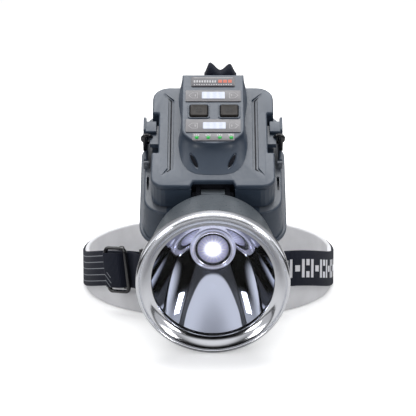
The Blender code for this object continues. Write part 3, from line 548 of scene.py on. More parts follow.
def fillet(corners, steps=5):
    """A closed outline from (x, y, radius) corners, each rounded by its radius."""
    points = []
    count = len(corners)
    for k, (x, y, radius) in enumerate(corners):
        here = Vector((x, y))
        before = (Vector(corners[k - 1][:2]) - here).normalized()
        after = (Vector(corners[(k + 1) % count][:2]) - here).normalized()
        half = before.angle(after) / 2
        if radius <= 0 or half > math.radians(88):
            points.append((x, y))
            continue
        reach = radius / math.tan(half)
        centre = here + (before + after).normalized() * (radius / math.sin(half))
        start = here + before * reach - centre
        end = here + after * reach - centre
        sweep = math.atan2(start.x * end.y - start.y * end.x, start.dot(end))
        for step in range(steps + 1):
            spot = centre + Matrix.Rotation(sweep * step / steps, 2) @ start
            points.append((spot.x, spot.y))
    return points


def inset(points, distance):
    """The outline moved inwards by a distance; it runs anticlockwise."""
    return [corner[:2] for corner in inset_corners([(x, y, 0.0) for x, y in points], distance)]


def inset_corners(corners, distance):
    """Rounded corners moved inwards: outer radii shrink by the distance and inner ones grow."""
    made = []
    count = len(corners)
    for k, (x, y, radius) in enumerate(corners):
        here = Vector((x, y))
        before = (here - Vector(corners[k - 1][:2])).normalized()
        after = (Vector(corners[(k + 1) % count][:2]) - here).normalized()
        n0 = Vector((-before.y, before.x))
        n1 = Vector((-after.y, after.x))
        spot = here + (n0 + n1) / max(0.4, 1 + n0.dot(n1)) * distance
        outer = before.x * after.y - before.y * after.x > 0
        if radius > 0:
            radius = max(0.02, radius - distance) if outer else radius + distance
        made.append((spot.x, spot.y, radius))
    return made


def rounded_levels(low, high, low_round, high_round, steps=4):
    """(height, inset) pairs of a slab whose lower and upper rims are rounded."""
    angles = [math.pi / 2 * k / steps for k in range(steps + 1)]
    lower = [(low + low_round * (1 - math.cos(a)), low_round * (1 - math.sin(a))) for a in angles]
    return lower + [(high - high_round * (1 - math.sin(a)), high_round * (1 - math.cos(a))) for a in angles]


def slab_into(bm, corners, levels, steps=5, lean=None):
    """A closed slab from (x, y, radius) corners and (height, inset) levels; lean(x, y, z) may move points."""
    rings = []
    for height, inward in levels:
        ring = [(x, y, height) for x, y in fillet(inset_corners(corners, inward), steps)]
        rings.append(put(bm, [lean(*point) for point in ring] if lean else ring))
    loft(bm, rings)


def slab(name, corners, levels, skins, place, body, replaces=(), steps=5):
    bm = bmesh.new()
    slab_into(bm, corners, levels, steps)
    return finish_piece(name, bm, skins, place, body, replaces)


def rectangle(low_x, low_y, high_x, high_y, radius):
    corners = ((low_x, low_y), (high_x, low_y), (high_x, high_y), (low_x, high_y))
    return [(*corner, radius) for corner in corners]


def turned(name, profile, skins, place, body, replaces=(), steps=128, closed=True, sharp=32.0):
    """A body turned about Z from (radius, height) points."""
    bm = bmesh.new()
    rings = []
    for radius, height in profile:
        if radius < 0.001:
            rings.append(put(bm, [(0, 0, height)]))
            continue
        angles = (2 * math.pi * k / steps for k in range(steps))
        rings.append(put(bm, [(radius * math.cos(a), radius * math.sin(a), height) for a in angles]))
    pairs = list(zip(rings, rings[1:]))
    if closed:
        pairs.append((rings[-1], rings[0]))
    for lower, upper in pairs:
        if len(lower) == 1 and len(upper) == 1:
            continue
        for k in range(steps):
            near = [lower[k % len(lower)], lower[(k + 1) % len(lower)]]
            far = [upper[(k + 1) % len(upper)], upper[k % len(upper)]]
            bm.faces.new(list(dict.fromkeys(near + far)))
    return finish_piece(name, bm, skins, place, body, replaces, sharp)


def cut_with(piece, cutter_bm, name):
    """Takes a shape out of a piece and keeps the result as its mesh."""
    bmesh.ops.recalc_face_normals(cutter_bm, faces=cutter_bm.faces)
    mesh = bpy.data.meshes.new(name)
    cutter_bm.to_mesh(mesh)
    cutter_bm.free()
    tool = bpy.data.objects.new(name, mesh)
    bpy.context.scene.collection.objects.link(tool)
    tool.matrix_world = piece.matrix_world
    modifier = piece.modifiers.new("cut", "BOOLEAN")
    modifier.solver = "EXACT"
    modifier.object = tool
    bpy.context.view_layer.update()
    result = bpy.data.meshes.new_from_object(piece.evaluated_get(bpy.context.evaluated_depsgraph_get()))
    piece.modifiers.remove(modifier)
    piece.data = result
    result.shade_smooth()
    result.set_sharp_from_angle(angle=math.radians(32))
    bpy.data.objects.remove(tool)


def smooth_step(value):
    value = min(1.0, max(0.0, value))
    return value * value * (3 - 2 * value)


def through(points, count):
    """Evenly counted points of a smooth curve through the given ones (Catmull-Rom)."""
    padded = [points[0], *points, points[-1]]
    spans = len(points) - 1
    made = []
    for k in range(count):
        position = spans * k / (count - 1)
        i = min(int(position), spans - 1)
        t = position - i
        a, b, c, d = (Vector(p) for p in padded[i:i + 4])
        square = 2 * a - 5 * b + 4 * c - d
        cube = 3 * b - a - 3 * c + d
        made.append((2 * b + (c - a) * t + square * t * t + cube * t**3) / 2)
    return made


# ---------------------------------------------------------------- battery case


def lid_outline():
    notch, shoulder, depth = NOTCH
    front, back, inner = POCKET
    right = [
        (shoulder, 0, 1.5), (HALF_WIDTH, 0, 8.5), (HALF_WIDTH, front, 1.4), (inner, front, 0.7),
        (inner, back, 0.7), (HALF_WIDTH, back, 1.4), (HALF_WIDTH, LENGTH, 11.0),
    ]
    left = [(-x, y, r) for x, y, r in reversed(right)]
    return [(-notch, depth, 0.8), (notch, depth, 0.8), *right, *left]


def groove_bar(bm, side, middle, tip):
    """A bar along the groove on one side, from (across, height) corners in its middle and at its tips."""
    corners = ((33.4, 10.2), (28.2, 16.9), (28.2, 84.0), (33.2, 90.6))
    path = [Vector((side * x, y)) for x, y in corners]
    rings = []
    for k, here in enumerate(path):
        along = (path[min(k + 1, len(path) - 1)] - path[max(k - 1, 0)]).normalized()
        across = Vector((along.y, -along.x))
        section = tip if k in (0, len(path) - 1) else middle
        rings.append(put(bm, [(*(here + across * share), height) for share, height in section]))
    loft(bm, rings)


def bar_section(low_half, high_half, low, high):
    return ((-high_half, high), (high_half, high), (low_half, low), (-low_half, low))


def make_lid():
    """The lid with a groove along each side, and a dark strip on the floor of each groove as painted shade.
    """
    levels = rounded_levels(-LID, 0.0, 0.5, 1.3, 4)
    lid = slab("top_lid_shell", lid_outline(), levels, "case", CASE, ROOT, ["top_lid"])
    cutter, groove_shade_strips = bmesh.new(), bmesh.new()
    for side in (-1, 1):
        groove_bar(cutter, side, bar_section(1.7, 2.2, -1.3, 0.9), bar_section(0.5, 1.0, -0.15, 0.9))
        # the matt black strips on the groove floors are painted shade in the grooves
        groove_bar(groove_shade_strips, side, bar_section(0.4, 0.4, -2.0, -1.0), bar_section(0.2, 0.2, -2.0, -0.6))
    cut_with(lid, cutter, "lid_grooves")
    finish_piece("lid_groove_painted_shade", groove_shade_strips, "matt_black", CASE, ROOT)


def housing_outlines():
    """The housing's outline at the lid and at its top: from the back corner round the nose and back."""
    base = [
        (22.2, 97.0), (23.2, 82.0), (21.4, 62.0), (23.0, 44.0), (22.3, 32.0),
        (19.8, 21.0), (14.5, 13.4), (7.5, 10.9), (0.0, 10.4),
    ]
    top = [
        (20.7, 97.0), (20.7, 82.0), (20.7, 62.0), (20.7, 46.0), (20.0, 39.5),
        (17.4, 35.4), (12.6, 31.0), (6.5, 28.9), (0.0, 28.2),
    ]
    outlines = []
    for half in (base, top):
        mirrored = [(-x, y) for x, y in reversed(half[:-1])]
        outlines.append(through([(x, y, 0.0) for x, y in half + mirrored], 81))
    return outlines


def hump_ring(share):
    base, top = housing_outlines()
    ease = math.sin(share * math.pi / 2) ** 0.9
    return [(b.x + (t.x - b.x) * ease, b.y + (t.y - b.y) * ease) for b, t in zip(base, top)]


def hump_height_at(x, y):
    """Height of the housing's front slope over a point of the lid, found by bisection."""
    low, high = 0.0, 0.97
    for _ in range(24):
        middle = (low + high) / 2
        ring = hump_ring(middle)
        front = min((p for p in ring if p[1] < 45), key=lambda p: abs(p[0] - x))
        if front[1] < y:
            low = middle
        else:
            high = middle
    return 0.2 + (HUMP_HEIGHT - 0.2) * low


def make_hump():
    bm = bmesh.new()
    rings = []
    roundness = 1.1
    for share in (0.0, 0.08, 0.18, 0.3, 0.42, 0.55, 0.68, 0.8, 0.9):
        height = 0.15 + (HUMP_HEIGHT - roundness - 0.15) * share / 0.9
        rings.append(put(bm, [(x, y, height) for x, y in hump_ring(share)]))
    outline = list(reversed(hump_ring(0.93)))
    for k in range(1, 6):
        a = math.pi / 2 * k / 5
        inward = roundness * (1 - math.cos(a))
        height = HUMP_HEIGHT - roundness + roundness * math.sin(a)
        ring = reversed(inset(outline, inward))
        rings.append(put(bm, [(x, min(y, LENGTH - inward), height) for x, y in ring]))
    loft(bm, rings)
    replaced = ["control_housing"]
    hump = finish_piece("control_housing_shell", bm, "case", CASE, ROOT, replaced, 30.0)
    cutter, recess_shade = bmesh.new(), bmesh.new()
    for side in (-1, 1):
        start, end = Vector((side * 15.6, 26.6)), Vector((side * 9.6, 14.6))
        a = Vector((*start, hump_height_at(*start)))
        b = Vector((*end, hump_height_at(*end)))
        middle = (a + b) / 2
        along = (b - a).normalized()
        lift = Vector((side * 0.15, -0.55, 0.8)).normalized()
        across = along.cross(lift).normalized()
        lift = across.cross(along).normalized()
        # the second, smaller ellipsoids sit deeper in each recess and are painted shade in the hollow
        for target, size, depth in ((cutter, (1.0, 2.1, 1.5), 0.35), (recess_shade, (0.80, 1.25, 0.5), -0.75)):
            axes = (along * (b - a).length / 2 * size[0], across * size[1], lift * size[2])
            ball = bmesh.ops.create_uvsphere(target, u_segments=24, v_segments=12, radius=1.0)["verts"]
            place = Matrix.Translation(middle + lift * depth) @ Matrix(axes).transposed().to_4x4()
            bmesh.ops.transform(target, matrix=Matrix.Scale(MM, 4) @ place, verts=ball)
    # matt black ellipsoids inside the oval recesses: painted shade in the hollows
    finish_piece("recess_painted_shade", recess_shade, "matt_black", CASE, ROOT)
    for x in BUTTON_X:
        outline = rectangle(x - 6.3, BUTTON_Y - 6.0, x + 6.3, BUTTON_Y + 6.0, 1.6)
        slab_into(cutter, outline, [(HUMP_HEIGHT - 4.4, 0.0), (HUMP_HEIGHT + 2, 0.0)])
    cut_with(hump, cutter, "housing_cuts")


def make_button_surrounds():
    """A raised square ring round each button."""
    for word, x in zip(("left", "right"), BUTTON_X):
        bm = bmesh.new()
        rings = []
        section = ((7.5, 11.62), (7.45, 11.95), (7.2, 12.15), (6.75, 12.15), (6.5, 11.95), (6.45, 11.2))
        for grow, height in section:
            outline = fillet(rectangle(x - grow, BUTTON_Y - grow + 0.3, x + grow, BUTTON_Y + grow - 0.3, 2.0))
            rings.append(put(bm, [(px, py, height) for px, py in outline]))
        loft(bm, rings, closed=True)
        finish_piece(f"button_surround_{word}", bm, "case", CASE, ROOT)


def make_button(word, x):
    """A rubber key with rounded rim, a dished top and a raised symbol."""
    bm = bmesh.new()
    half_x, half_y = BUTTON_HALF
    outline = rectangle(x - half_x, BUTTON_Y - half_y, x + half_x, BUTTON_Y + half_y, 1.3)
    levels = [(8.4, 0.0), (12.6, 0.0), (13.0, 0.15), (13.2, 0.45), (13.25, 0.9), (13.1, 1.5), (13.0, 2.4)]
    slab_into(bm, outline, levels)
    body = f"{word}_button"
    finish_piece(f"button_{word}_key", bm, "button", CASE, body, [f"button_{word}"])
    bm = bmesh.new()
    if word == "left":
        arcs = [(2 * math.pi * (0.32 + 0.86 * k / 20)) for k in range(21)]
        line = [(x + 1.9 * math.cos(a), BUTTON_Y + 1.9 * math.sin(a)) for a in arcs]
        strokes = [line, [(x, BUTTON_Y + 0.4), (x, BUTTON_Y + 2.4)]]
    else:
        strokes = [[(x + s * 0.9, BUTTON_Y - 2.0), (x + s * 0.9, BUTTON_Y + 2.0)] for s in (-2, -1, 0, 1, 2)]
    for stroke in strokes:
        stroke_into(bm, stroke, 0.36, 12.9, 13.16)
    finish_piece(f"button_{word}_symbol", bm, "seal", CASE, body)


def stroke_into(bm, points, width, low, high, closed=False):
    """A flat raised line of a width along (x, y) points."""
    path = [Vector(p) for p in points]
    count = len(path)
    rings = []
    for k, here in enumerate(path):
        before = path[k - 1] if closed or k else here
        after = path[(k + 1) % count] if closed or k < count - 1 else here
        d0, d1 = (here - before), (after - here)
        d0 = d0.normalized() if d0.length else d1.normalized()
        d1 = d1.normalized() if d1.length else d0
        n0, n1 = Vector((-d0.y, d0.x)), Vector((-d1.y, d1.x))
        miter = (n0 + n1) / max(0.5, 1 + n0.dot(n1)) * width / 2
        left, right = here - miter, here + miter
        rings.append(put(bm, [(*left, low), (*right, low), (*right, high), (*left, high)]))
    loft(bm, rings, closed)


def make_panel():
    plates = (
        ("name_plate", (-14.7, 84.4, 14.8, 94.3), "label"),
        ("strip_upper", (-18.5, 69.2, 18.7, 80.4), "panel"),
        ("strip_lower", (-18.2, 38.8, 18.4, 51.4), "panel"),
        ("indicator_strip", (-13.6, 30.6, 14.2, 37.6), "panel"),
    )
    levels = [(PANEL_TOP - 0.15, 0.0), (PANEL_TOP + 0.25, 0.0), (PANEL_TOP + 0.42, 0.1), (FILM_TOP, 0.3)]
    for name, size, skin in plates:
        slab(f"{name}_film", rectangle(*size, 0.9), levels, skin, CASE, ROOT, [name])
    displays = (("display_upper", (-7.5, 71.6, 8.0, 78.4)), ("display_lower", (-6.7, 41.6, 8.5, 48.1)))
    for name, size in displays:
        rim = [(FILM_TOP - 0.1, 0.0), (FILM_TOP + 0.25, 0.0), (FILM_TOP + 0.4, 0.15)]
        slab(f"{name}_window", rectangle(*size, 0.7), rim, "display", CASE, ROOT, [name])
    make_arrow_marks()
    make_label_marks()
    bm = bmesh.new()
    for x in INDICATOR_X:
        ball = bmesh.ops.create_uvsphere(bm, u_segments=20, v_segments=10, radius=1.35 * MM)["verts"]
        bmesh.ops.scale(bm, vec=(1, 1, 0.6), verts=ball)
        bmesh.ops.translate(bm, vec=Vector((x, 33.3, FILM_TOP + 0.1)) * MM, verts=ball)
    finish_piece("indicator_lamps", bm, "green", CASE, ROOT, ["charge_indicators"])


def print_line(bm, points, width, proud=0.05, closed=False):
    """A printed line on the panel films."""
    stroke_into(bm, points, width, FILM_TOP - 0.05, FILM_TOP + proud, closed)


def print_dash(bm, x, y, length, width, proud=0.05):
    print_line(bm, [(x, y), (x + length, y)], width, proud)


def make_arrow_marks():
    """A pointed frame with a bar on each side of both displays, and a thin line along each strip's edges."""
    bm = bmesh.new()
    for y_low, y_high in ((71.8, 78.2), (41.8, 47.9)):
        middle = (y_low + y_high) / 2
        for side, near, far in ((-1, 10.4, 16.2), (1, 11.0, 16.8)):
            neck, bar = near + (far - near) * 0.62, side * (near + 1.4)
            low, high = y_low + 0.6, y_high - 0.6
            frame_corners = [(near, low), (neck, low), (far, middle), (neck, high), (near, high)]
            print_line(bm, [(side * x, y) for x, y in frame_corners], 0.5, closed=True)
            print_line(bm, [(bar, middle - 1.1), (bar, middle + 1.1)], 0.9)
    for x, y in ((-18.0, 69.7), (-18.0, 79.9), (-17.7, 39.3), (-17.7, 50.9)):
        print_dash(bm, x, y, 0.2 - 2 * x, 0.25, 0.04)
    finish_piece("panel_marks", bm, "grey_print", CASE, ROOT)


def make_label_marks():
    """Plain dashes and blocks where the name plate and the indicator strip are printed."""
    bm = bmesh.new()
    print_dash(bm, -13.2, 92.9, 26.5, 0.35, 0.04)
    for k in range(9):
        print_dash(bm, -13.0 + k * 1.75, 89.2, 1.1, 2.2)
    for k in range(16):
        print_dash(bm, -13.0 + k * 1.65, 86.0, 0.9, 0.8)
    for x in INDICATOR_X:
        for k in range(3):
            print_dash(bm, x - 1.9 + k * 1.3, 35.7 + (k % 2) * 0.25, 0.9, 1.3)
    finish_piece("label_marks", bm, "white_print", CASE, ROOT)
    bm = bmesh.new()
    for k in range(3):
        print_dash(bm, 3.6 + k * 3.3, 89.4, 2.5, 3.0, 0.06)
    finish_piece("label_blocks", bm, "orange_print", CASE, ROOT)


def tray_outline():
    half, front, back = 45.6, -4.8, 92.0
    return [(-half, front, 15.0), (half, front, 15.0), (half, back, 13.0), (-half, back, 13.0)]


def flare(x, y, z):
    """The tray's walls lean out towards its bottom, away from its middle."""
    share = max(0.0, (RIM_TOP - z) / (RIM_TOP - TRAY_BOTTOM))
    return (x * (1 + 0.034 * share), TRAY_MIDDLE + (y - TRAY_MIDDLE) * (1 + 0.025 * share), z)


def make_tray():
    bm = bmesh.new()
    outline = tray_outline()
    levels = [(TRAY_BOTTOM, 0.0), (-38.0, 0.0), (-30.0, 0.0), (-23.5, 0.0)]
    angles = [math.pi / 2 * k / 4 for k in range(5)]
    levels += [(RIM_TOP - 1.0 + math.sin(a), 1.0 - math.cos(a)) for a in angles]
    rings = []
    for height, inward in levels:
        rings.append(put(bm, [flare(x, y, height) for x, y in fillet(inset_corners(outline, inward), 10)]))
    rings.append(put(bm, [(x, y, RIM_TOP) for x, y in fillet(inset_corners(outline, 9.0), 10)]))
    loft(bm, rings)
    # The top ring takes the light rim colour, but at the front middle beside the hinge it keeps the dark case
    # colour: painted shade where the lid and hinge shade the rim.
    for corner, other in zip(rings[-1], rings[-2]):
        for face in other.link_faces:
            if corner in face.verts:
                centre = face.calc_center_median()
                face.material_index = int(centre.y > 8 * MM or abs(centre.x) > 29.5 * MM)
    tray = finish_piece("lower_tray_shell", bm, ["case", "rim"], CASE, ROOT, ["lower_tray"])
    cutter = bmesh.new()
    for side in (-1, 1):
        x = side * 43.4
        slab_into(cutter, rectangle(x - 0.75, 17.0, x + 0.75, 30.0, 0.7), [(-25.0, 0.0), (-18.0, 0.0)])
    cut_with(tray, cutter, "rim_slots")
    bm = bmesh.new()
    for side in (-1, 1):
        for y in (38.0, 69.8):
            lug = rectangle(side * LATCH_X - 2.0, y, side * LATCH_X + 2.0, y + 2.4, 0.5)
            slab_into(bm, lug, rounded_levels(RIM_TOP - 0.4, LATCH_Z + 2.1, 0.1, 0.7, 3))
    finish_piece("latch_lugs", bm, "rim", CASE, ROOT)


def make_base():
    half, front, back = 49.3, -8.0, 88.0
    outline = [(-half, front, 19.0), (half, front, 19.0), (half, back, 10.0), (-half, back, 10.0)]
    levels = rounded_levels(-49.3, -46.3, 0.8, 0.8, 3)
    slab("base_plate_shell", outline, levels, "case", CASE, ROOT, ["base_plate"], 10)


def make_latches():
    """Each latch: a lever plate with its tongue on a pin, and a glossy black hook and wire hoop in front."""
    for side, word in ((-1, "left"), (1, "right")):
        body = f"{word}_latch"

        def block(bm, x_span, y_span, z_span, corner, edge):
            low, high = sorted(side * (LATCH_X + x) for x in x_span)
            levels = rounded_levels(LATCH_Z + z_span[0], LATCH_Z + z_span[1], edge * 0.6, edge, 3)
            slab_into(bm, rectangle(low, y_span[0], high, y_span[1], corner), levels)

        bm = bmesh.new()
        block(bm, (0.2, 2.2), (57.4, 70.0), (-1.2, 14.4), 0.8, 0.9)
        block(bm, (-0.9, 0.8), (58.5, 67.0), (-1.2, 9.0), 0.6, 0.7)
        block(bm, (0.7, 2.2), (69.0, 72.6), (-1.2, 12.4), 0.6, 0.7)
        block(bm, (-0.6, 2.0), (41.0, 50.5), (-1.4, 2.2), 0.5, 1.0)
        finish_piece(f"latch_{word}_lever", bm, "case", CASE, body, [f"latch_{word}"])
        bm = bmesh.new()
        block(bm, (-6.7, 0.8), (56.0, 66.5), (12.1, 14.0), 0.6, 0.6)
        finish_piece(f"latch_{word}_tongue", bm, "case", CASE, body)
        bm = bmesh.new()
        hoop = []
        for k in range(24):
            a = 2 * math.pi * k / 24
            across = side * (LATCH_X - 0.4 + 3.3 * math.cos(a))
            hoop.append(Vector((across, 53.6 - 1.6 * math.sin(a), LATCH_Z + 9.6 + 4.6 * math.sin(a))))
        hoop_into(bm, hoop, 1.15)
        block(bm, (-0.2, 2.4), (50.8, 55.4), (1.0, 13.0), 0.5, 0.6)
        finish_piece(f"latch_{word}_hook", bm, "gloss_black", CASE, body)


def hoop_into(bm, path, radius, sides=10):
    """A closed hoop of round wire through the points of a path."""
    rings = []
    lift = None
    for k, here in enumerate(path):
        along = (path[(k + 1) % len(path)] - path[k - 1]).normalized()
        lift = along.orthogonal() if lift is None else lift
        lift = (lift - along * lift.dot(along)).normalized()
        across = along.cross(lift)
        angles = [2 * math.pi * s / sides for s in range(sides)]
        rings.append(put(bm, [here + (lift * math.cos(a) + across * math.sin(a)) * radius for a in angles]))
    loft(bm, rings, closed=True)


# ---------------------------------------------------------------- lamp head


def make_head():
    bezel = [
        (39.3, -6.2), (39.5, -5.5), (40.1, -5.15), (40.8, -4.95), (42.3, -3.6), (43.8, -2.35),
        (45.3, -1.3), (46.1, -0.95), (46.35, -1.25), (46.65, -1.25), (46.85, -0.6), (47.2, -0.15),
        (47.8, 0.0), (48.5, -0.35), (49.0, -1.2), (49.2, -2.3), (49.2, -3.4), (48.75, -3.75),
        (48.75, -4.15), (49.2, -4.5), (49.2, -7.0), (49.0, -8.0), (48.4, -8.8), (47.5, -9.0),
        (47.4, -6.6), (41.8, -6.6),
    ]
    turned("bezel_ring_chrome", bezel, "chrome", LAMP, HEAD, ["bezel_ring"], 160, sharp=40)
    lens = [(0, -6.9), (40.6, -6.9), (41.0, -7.2), (41.0, -8.4), (40.6, -8.7), (0, -8.7)]
    turned("front_lens_glass", lens, "glass", LAMP, HEAD, ["front_lens"], 128, closed=False)
    rim, hole, top, end = 39.3, 13.4, -10.3, -53.0
    inner = [hole + (rim - hole) * k / 32 for k in range(33)]

    def height(radius):
        return end + (top - end) * (radius**2 - hole**2) / (rim**2 - hole**2)

    profile = [(41.0, -10.3), (41.0, -11.0)]
    profile += [(radius + 0.9, height(radius) - 0.3) for radius in reversed(inner)]
    profile += [(radius, height(radius)) for radius in inner]
    turned("reflector_bowl", profile, "reflector", LAMP, HEAD, ["reflector"], 160, sharp=50)
    shell = [
        (46.6, -9.4), (46.9, -9.8), (46.9, -11.6), (46.3, -15.0), (43.2, -33.0), (40.3, -50.0),
        (39.7, -53.0), (38.6, -55.8), (36.9, -57.9), (34.9, -59.0), (30.0, -59.0), (20.6, -59.0),
        (20.6, -57.2), (34.7, -57.2), (37.0, -55.2), (38.2, -51.2), (43.9, -17.0), (44.0, -12.6),
        (44.0, -9.4),
    ]
    turned("head_shell_lacquer", shell, "shell", LAMP, HEAD, ["head_shell"], 160)
    ring = [
        (10.4, -54.6), (13.2, -54.6), (13.6, -54.0), (13.6, -52.2), (13.2, -51.6),
        (12.7, -51.4), (12.3, -51.7), (12.1, -52.6), (10.6, -53.4),
    ]
    # the retainer ring's faint glow is painted light from the LED, not a lamp of its own
    turned("led_retainer_ring", ring, "lit_chrome", LAMP, HEAD, ["led_retainer"], 96)
    dark = [(10.2, -53.9), (12.1, -53.9), (12.1, -53.1), (11.7, -52.8), (10.5, -52.9), (10.2, -53.3)]
    turned("led_gasket", dark, "gloss_black", LAMP, HEAD, (), 96)
    angles = [math.pi / 2 * k / 14 for k in range(15)]
    dome = [(10.0 * math.sin(a), -54.4 + 1.3 * math.cos(a)) for a in angles]
    turned("led_lens_dome", [*dome, (0.0, -54.6)], "led", LAMP, HEAD, ["led_lens"], 96, closed=False)


# ---------------------------------------------------------------- headband


def band_height(angle):
    return BAND_LOW + BAND_RISE * smooth_step((abs(angle) - 84.0) / 66.0)


def bracket_point(angle, radius, height=0.0):
    a = math.radians(angle)
    return Vector((radius * math.sin(a), radius * math.cos(a), height))


def band_point(angle, offset=0.0):
    """A point on the band's route: round the liner, then on to the inside of the forehead bracket."""
    a = math.radians(angle)
    clear = 0.3 + BAND_THICKNESS / 2 + offset + 2.7 * smooth_step((abs(angle) - 98.0) / 24.0)
    height = band_height(angle)
    along = Vector(((LINER_A + clear) * math.sin(a), (LINER_B + clear) * math.cos(a), height))
    share = smooth_step((abs(angle) - 137.0) / 12.0)
    return along.lerp(bracket_point(angle, INNER_LAYER + offset, height), share)


def band_turn(side, outer_end, count):
    """The band's end: out through the bracket's slot and back over itself to outer_end."""
    slot = 180.0 - SLOT_ANGLE
    height = band_height(slot)
    bends = (
        (0.0, INNER_LAYER), (0.6, INNER_LAYER + 1.0), (0.8, BRACKET_RADIUS),
        (0.4, OUTER_LAYER - 0.7), (-0.7, OUTER_LAYER),
    )
    points = [bracket_point(side * (slot + turn), radius, height) for turn, radius in bends]
    for k in range(1, count + 1):
        angle = slot - 0.7 + (outer_end - slot + 0.7) * k / count
        settle = smooth_step((slot - 3.6 - angle) / 7.0)
        free = bracket_point(side * angle, OUTER_LAYER, height)
        points.append(free.lerp(band_point(side * angle, SECOND_LAYER), settle))
    return points


def strap_mesh(name, path, sides, width, thickness, skins, replaces, place, columns=2, shape=None):
    """A flat strap along a path; sides leads across the width, and shape(run, share) may lift a point."""
    bm = bmesh.new()
    uv = bm.loops.layers.uv.new("UVMap")
    shares = [0.0, 0.02, *[k / columns for k in range(1, columns)], 0.98, 1.0]
    depth = [0.5 if 0.0 < share < 1.0 else 0.2 for share in shares]
    section = [(share, -d) for share, d in zip(shares, depth)]
    section += [(share, d) for share, d in reversed(list(zip(shares, depth)))]
    rings, runs = [], []
    run = 0.0
    for k, here in enumerate(path):
        if k:
            run += (here - path[k - 1]).length
        runs.append(run)
        before = here - path[max(k - 1, 0)]
        after = path[min(k + 1, len(path) - 1)] - here
        along = (before.normalized() + after.normalized()).normalized()
        out = along.cross(sides[k]).normalized()
        ring = []
        for share, d in section:
            point = here + sides[k] * (share * width) + out * (d * thickness)
            ring.append(point + shape(run, share) if shape else point)
        rings.append(put(bm, ring))
    count = len(section)
    for i, (lower, upper) in enumerate(zip(rings, rings[1:])):
        for k in range(count):
            n = (k + 1) % count
            face = bm.faces.new((lower[k], lower[n], upper[n], upper[k]))
            across, other = section[k][0] * width, section[n][0] * width
            values = ((runs[i], across), (runs[i], other), (runs[i + 1], other), (runs[i + 1], across))
            for loop, (u, v) in zip(face.loops, values):
                loop[uv].uv = (u * MM, v * MM)
    bm.faces.new(list(reversed(rings[0])))
    bm.faces.new(rings[-1])
    return finish_piece(name, bm, skins, place, ROOT, replaces, 50.0), run


def make_headband():
    run = [band_point(angle) for angle in [-153 + 2 * k for k in range(154)]]
    left = band_turn(-1, BUCKLE_ANGLE - 3.2, 16)
    right = band_turn(1, 143.0, 8)
    path = [*reversed(left), *run, *right]
    start = sum((b - a).length for a, b in zip(path, path[1:len(left) + 1]))
    stripe_low = start + 30.0
    lines = [k * MM for k in (3.6, 8.0, 12.5, 17.0, 21.4)]
    SKIN["band"] = knitted("headband_knit", STRAP_NAVY, (stripe_low * MM, (stripe_low + 85.0) * MM, lines))
    sides = [Vector((0, 0, 1))] * len(path)
    size = (BAND_WIDTH, BAND_THICKNESS)
    band, length = strap_mesh("headband_strap", path, sides, *size, "band", ["headband"], BAND)
    marks = make_band_marks()


def on_band(angle, across, lift):
    """A point over the band's right side; past the end of the turned-back strap it lies on that layer."""
    slot = 180.0 - SLOT_ANGLE
    here = band_point(angle, lift)
    if angle > 143.2:
        free = bracket_point(angle, OUTER_LAYER + lift, band_height(slot))
        here = free.lerp(band_point(angle, SECOND_LAYER + lift), smooth_step((slot - 3.6 - angle) / 7.0))
    return Vector((here.x, here.y, here.z + across))


def make_band_marks():
    """White bars and blocks woven into the right side of the band: a plain repeating pattern."""
    bm = bmesh.new()

    def patch(angle_low, angle_high, low, high):
        steps = max(2, round(angle_high - angle_low))
        rows = []
        for k in range(steps + 1):
            angle = angle_low + (angle_high - angle_low) * k / steps
            corners = ((low, 0.68), (high, 0.68), (high, 0.8), (low, 0.8))
            rows.append(put(bm, [on_band(angle, across, lift) for across, lift in corners]))
        loft(bm, rows)

    low, middle, high, block = 6.0, 12.5, 19.0, 4.4
    for start in (82.0, 95.0, 108.0, 121.0, 134.0, 147.0):
        patch(start, start + 1.7, low, high)
        patch(start + 2.9, start + 5.5, middle - block / 2, middle + block / 2)
        if start < 140:
            patch(start + 6.9, start + 8.6, low, high)
            patch(start + 9.8, start + 11.9, high - block, high)
            patch(start + 9.8, start + 11.9, low, low + block)
    return finish_piece("headband_marks", bm, "band_print", BAND, ROOT)


def make_liner():
    """The foam ring: slightly swollen inside, with a faint ripple along its length."""
    bm = bmesh.new()
    corner = 1.1
    edges = ((-LINER_WALL, 0), (0, 0), (0, LINER_HEIGHT), (-LINER_WALL, LINER_HEIGHT))
    section = fillet([(r, z, corner) for r, z in edges], 4)
    rings = []
    steps = 180
    for k in range(steps):
        a = 2 * math.pi * k / steps
        ripple = min(0.0, 0.10 * math.sin(7 * a) + 0.06 * math.sin(17 * a + 1))
        ring = []
        for r, z in section:
            puff = 0.25 * math.sin(math.pi * min(1.0, max(0.0, z / LINER_HEIGHT)))
            out = r + ripple - (puff if r < -LINER_WALL / 2 else 0.0)
            ring.append(((LINER_A + out) * math.sin(a), (LINER_B + out) * math.cos(a), z))
        rings.append(put(bm, ring))
    loft(bm, rings, closed=True)
    replaced = ["headband_liner"]
    liner = finish_piece("headband_liner_foam", bm, "foam", BAND, ROOT, replaced, 60.0)


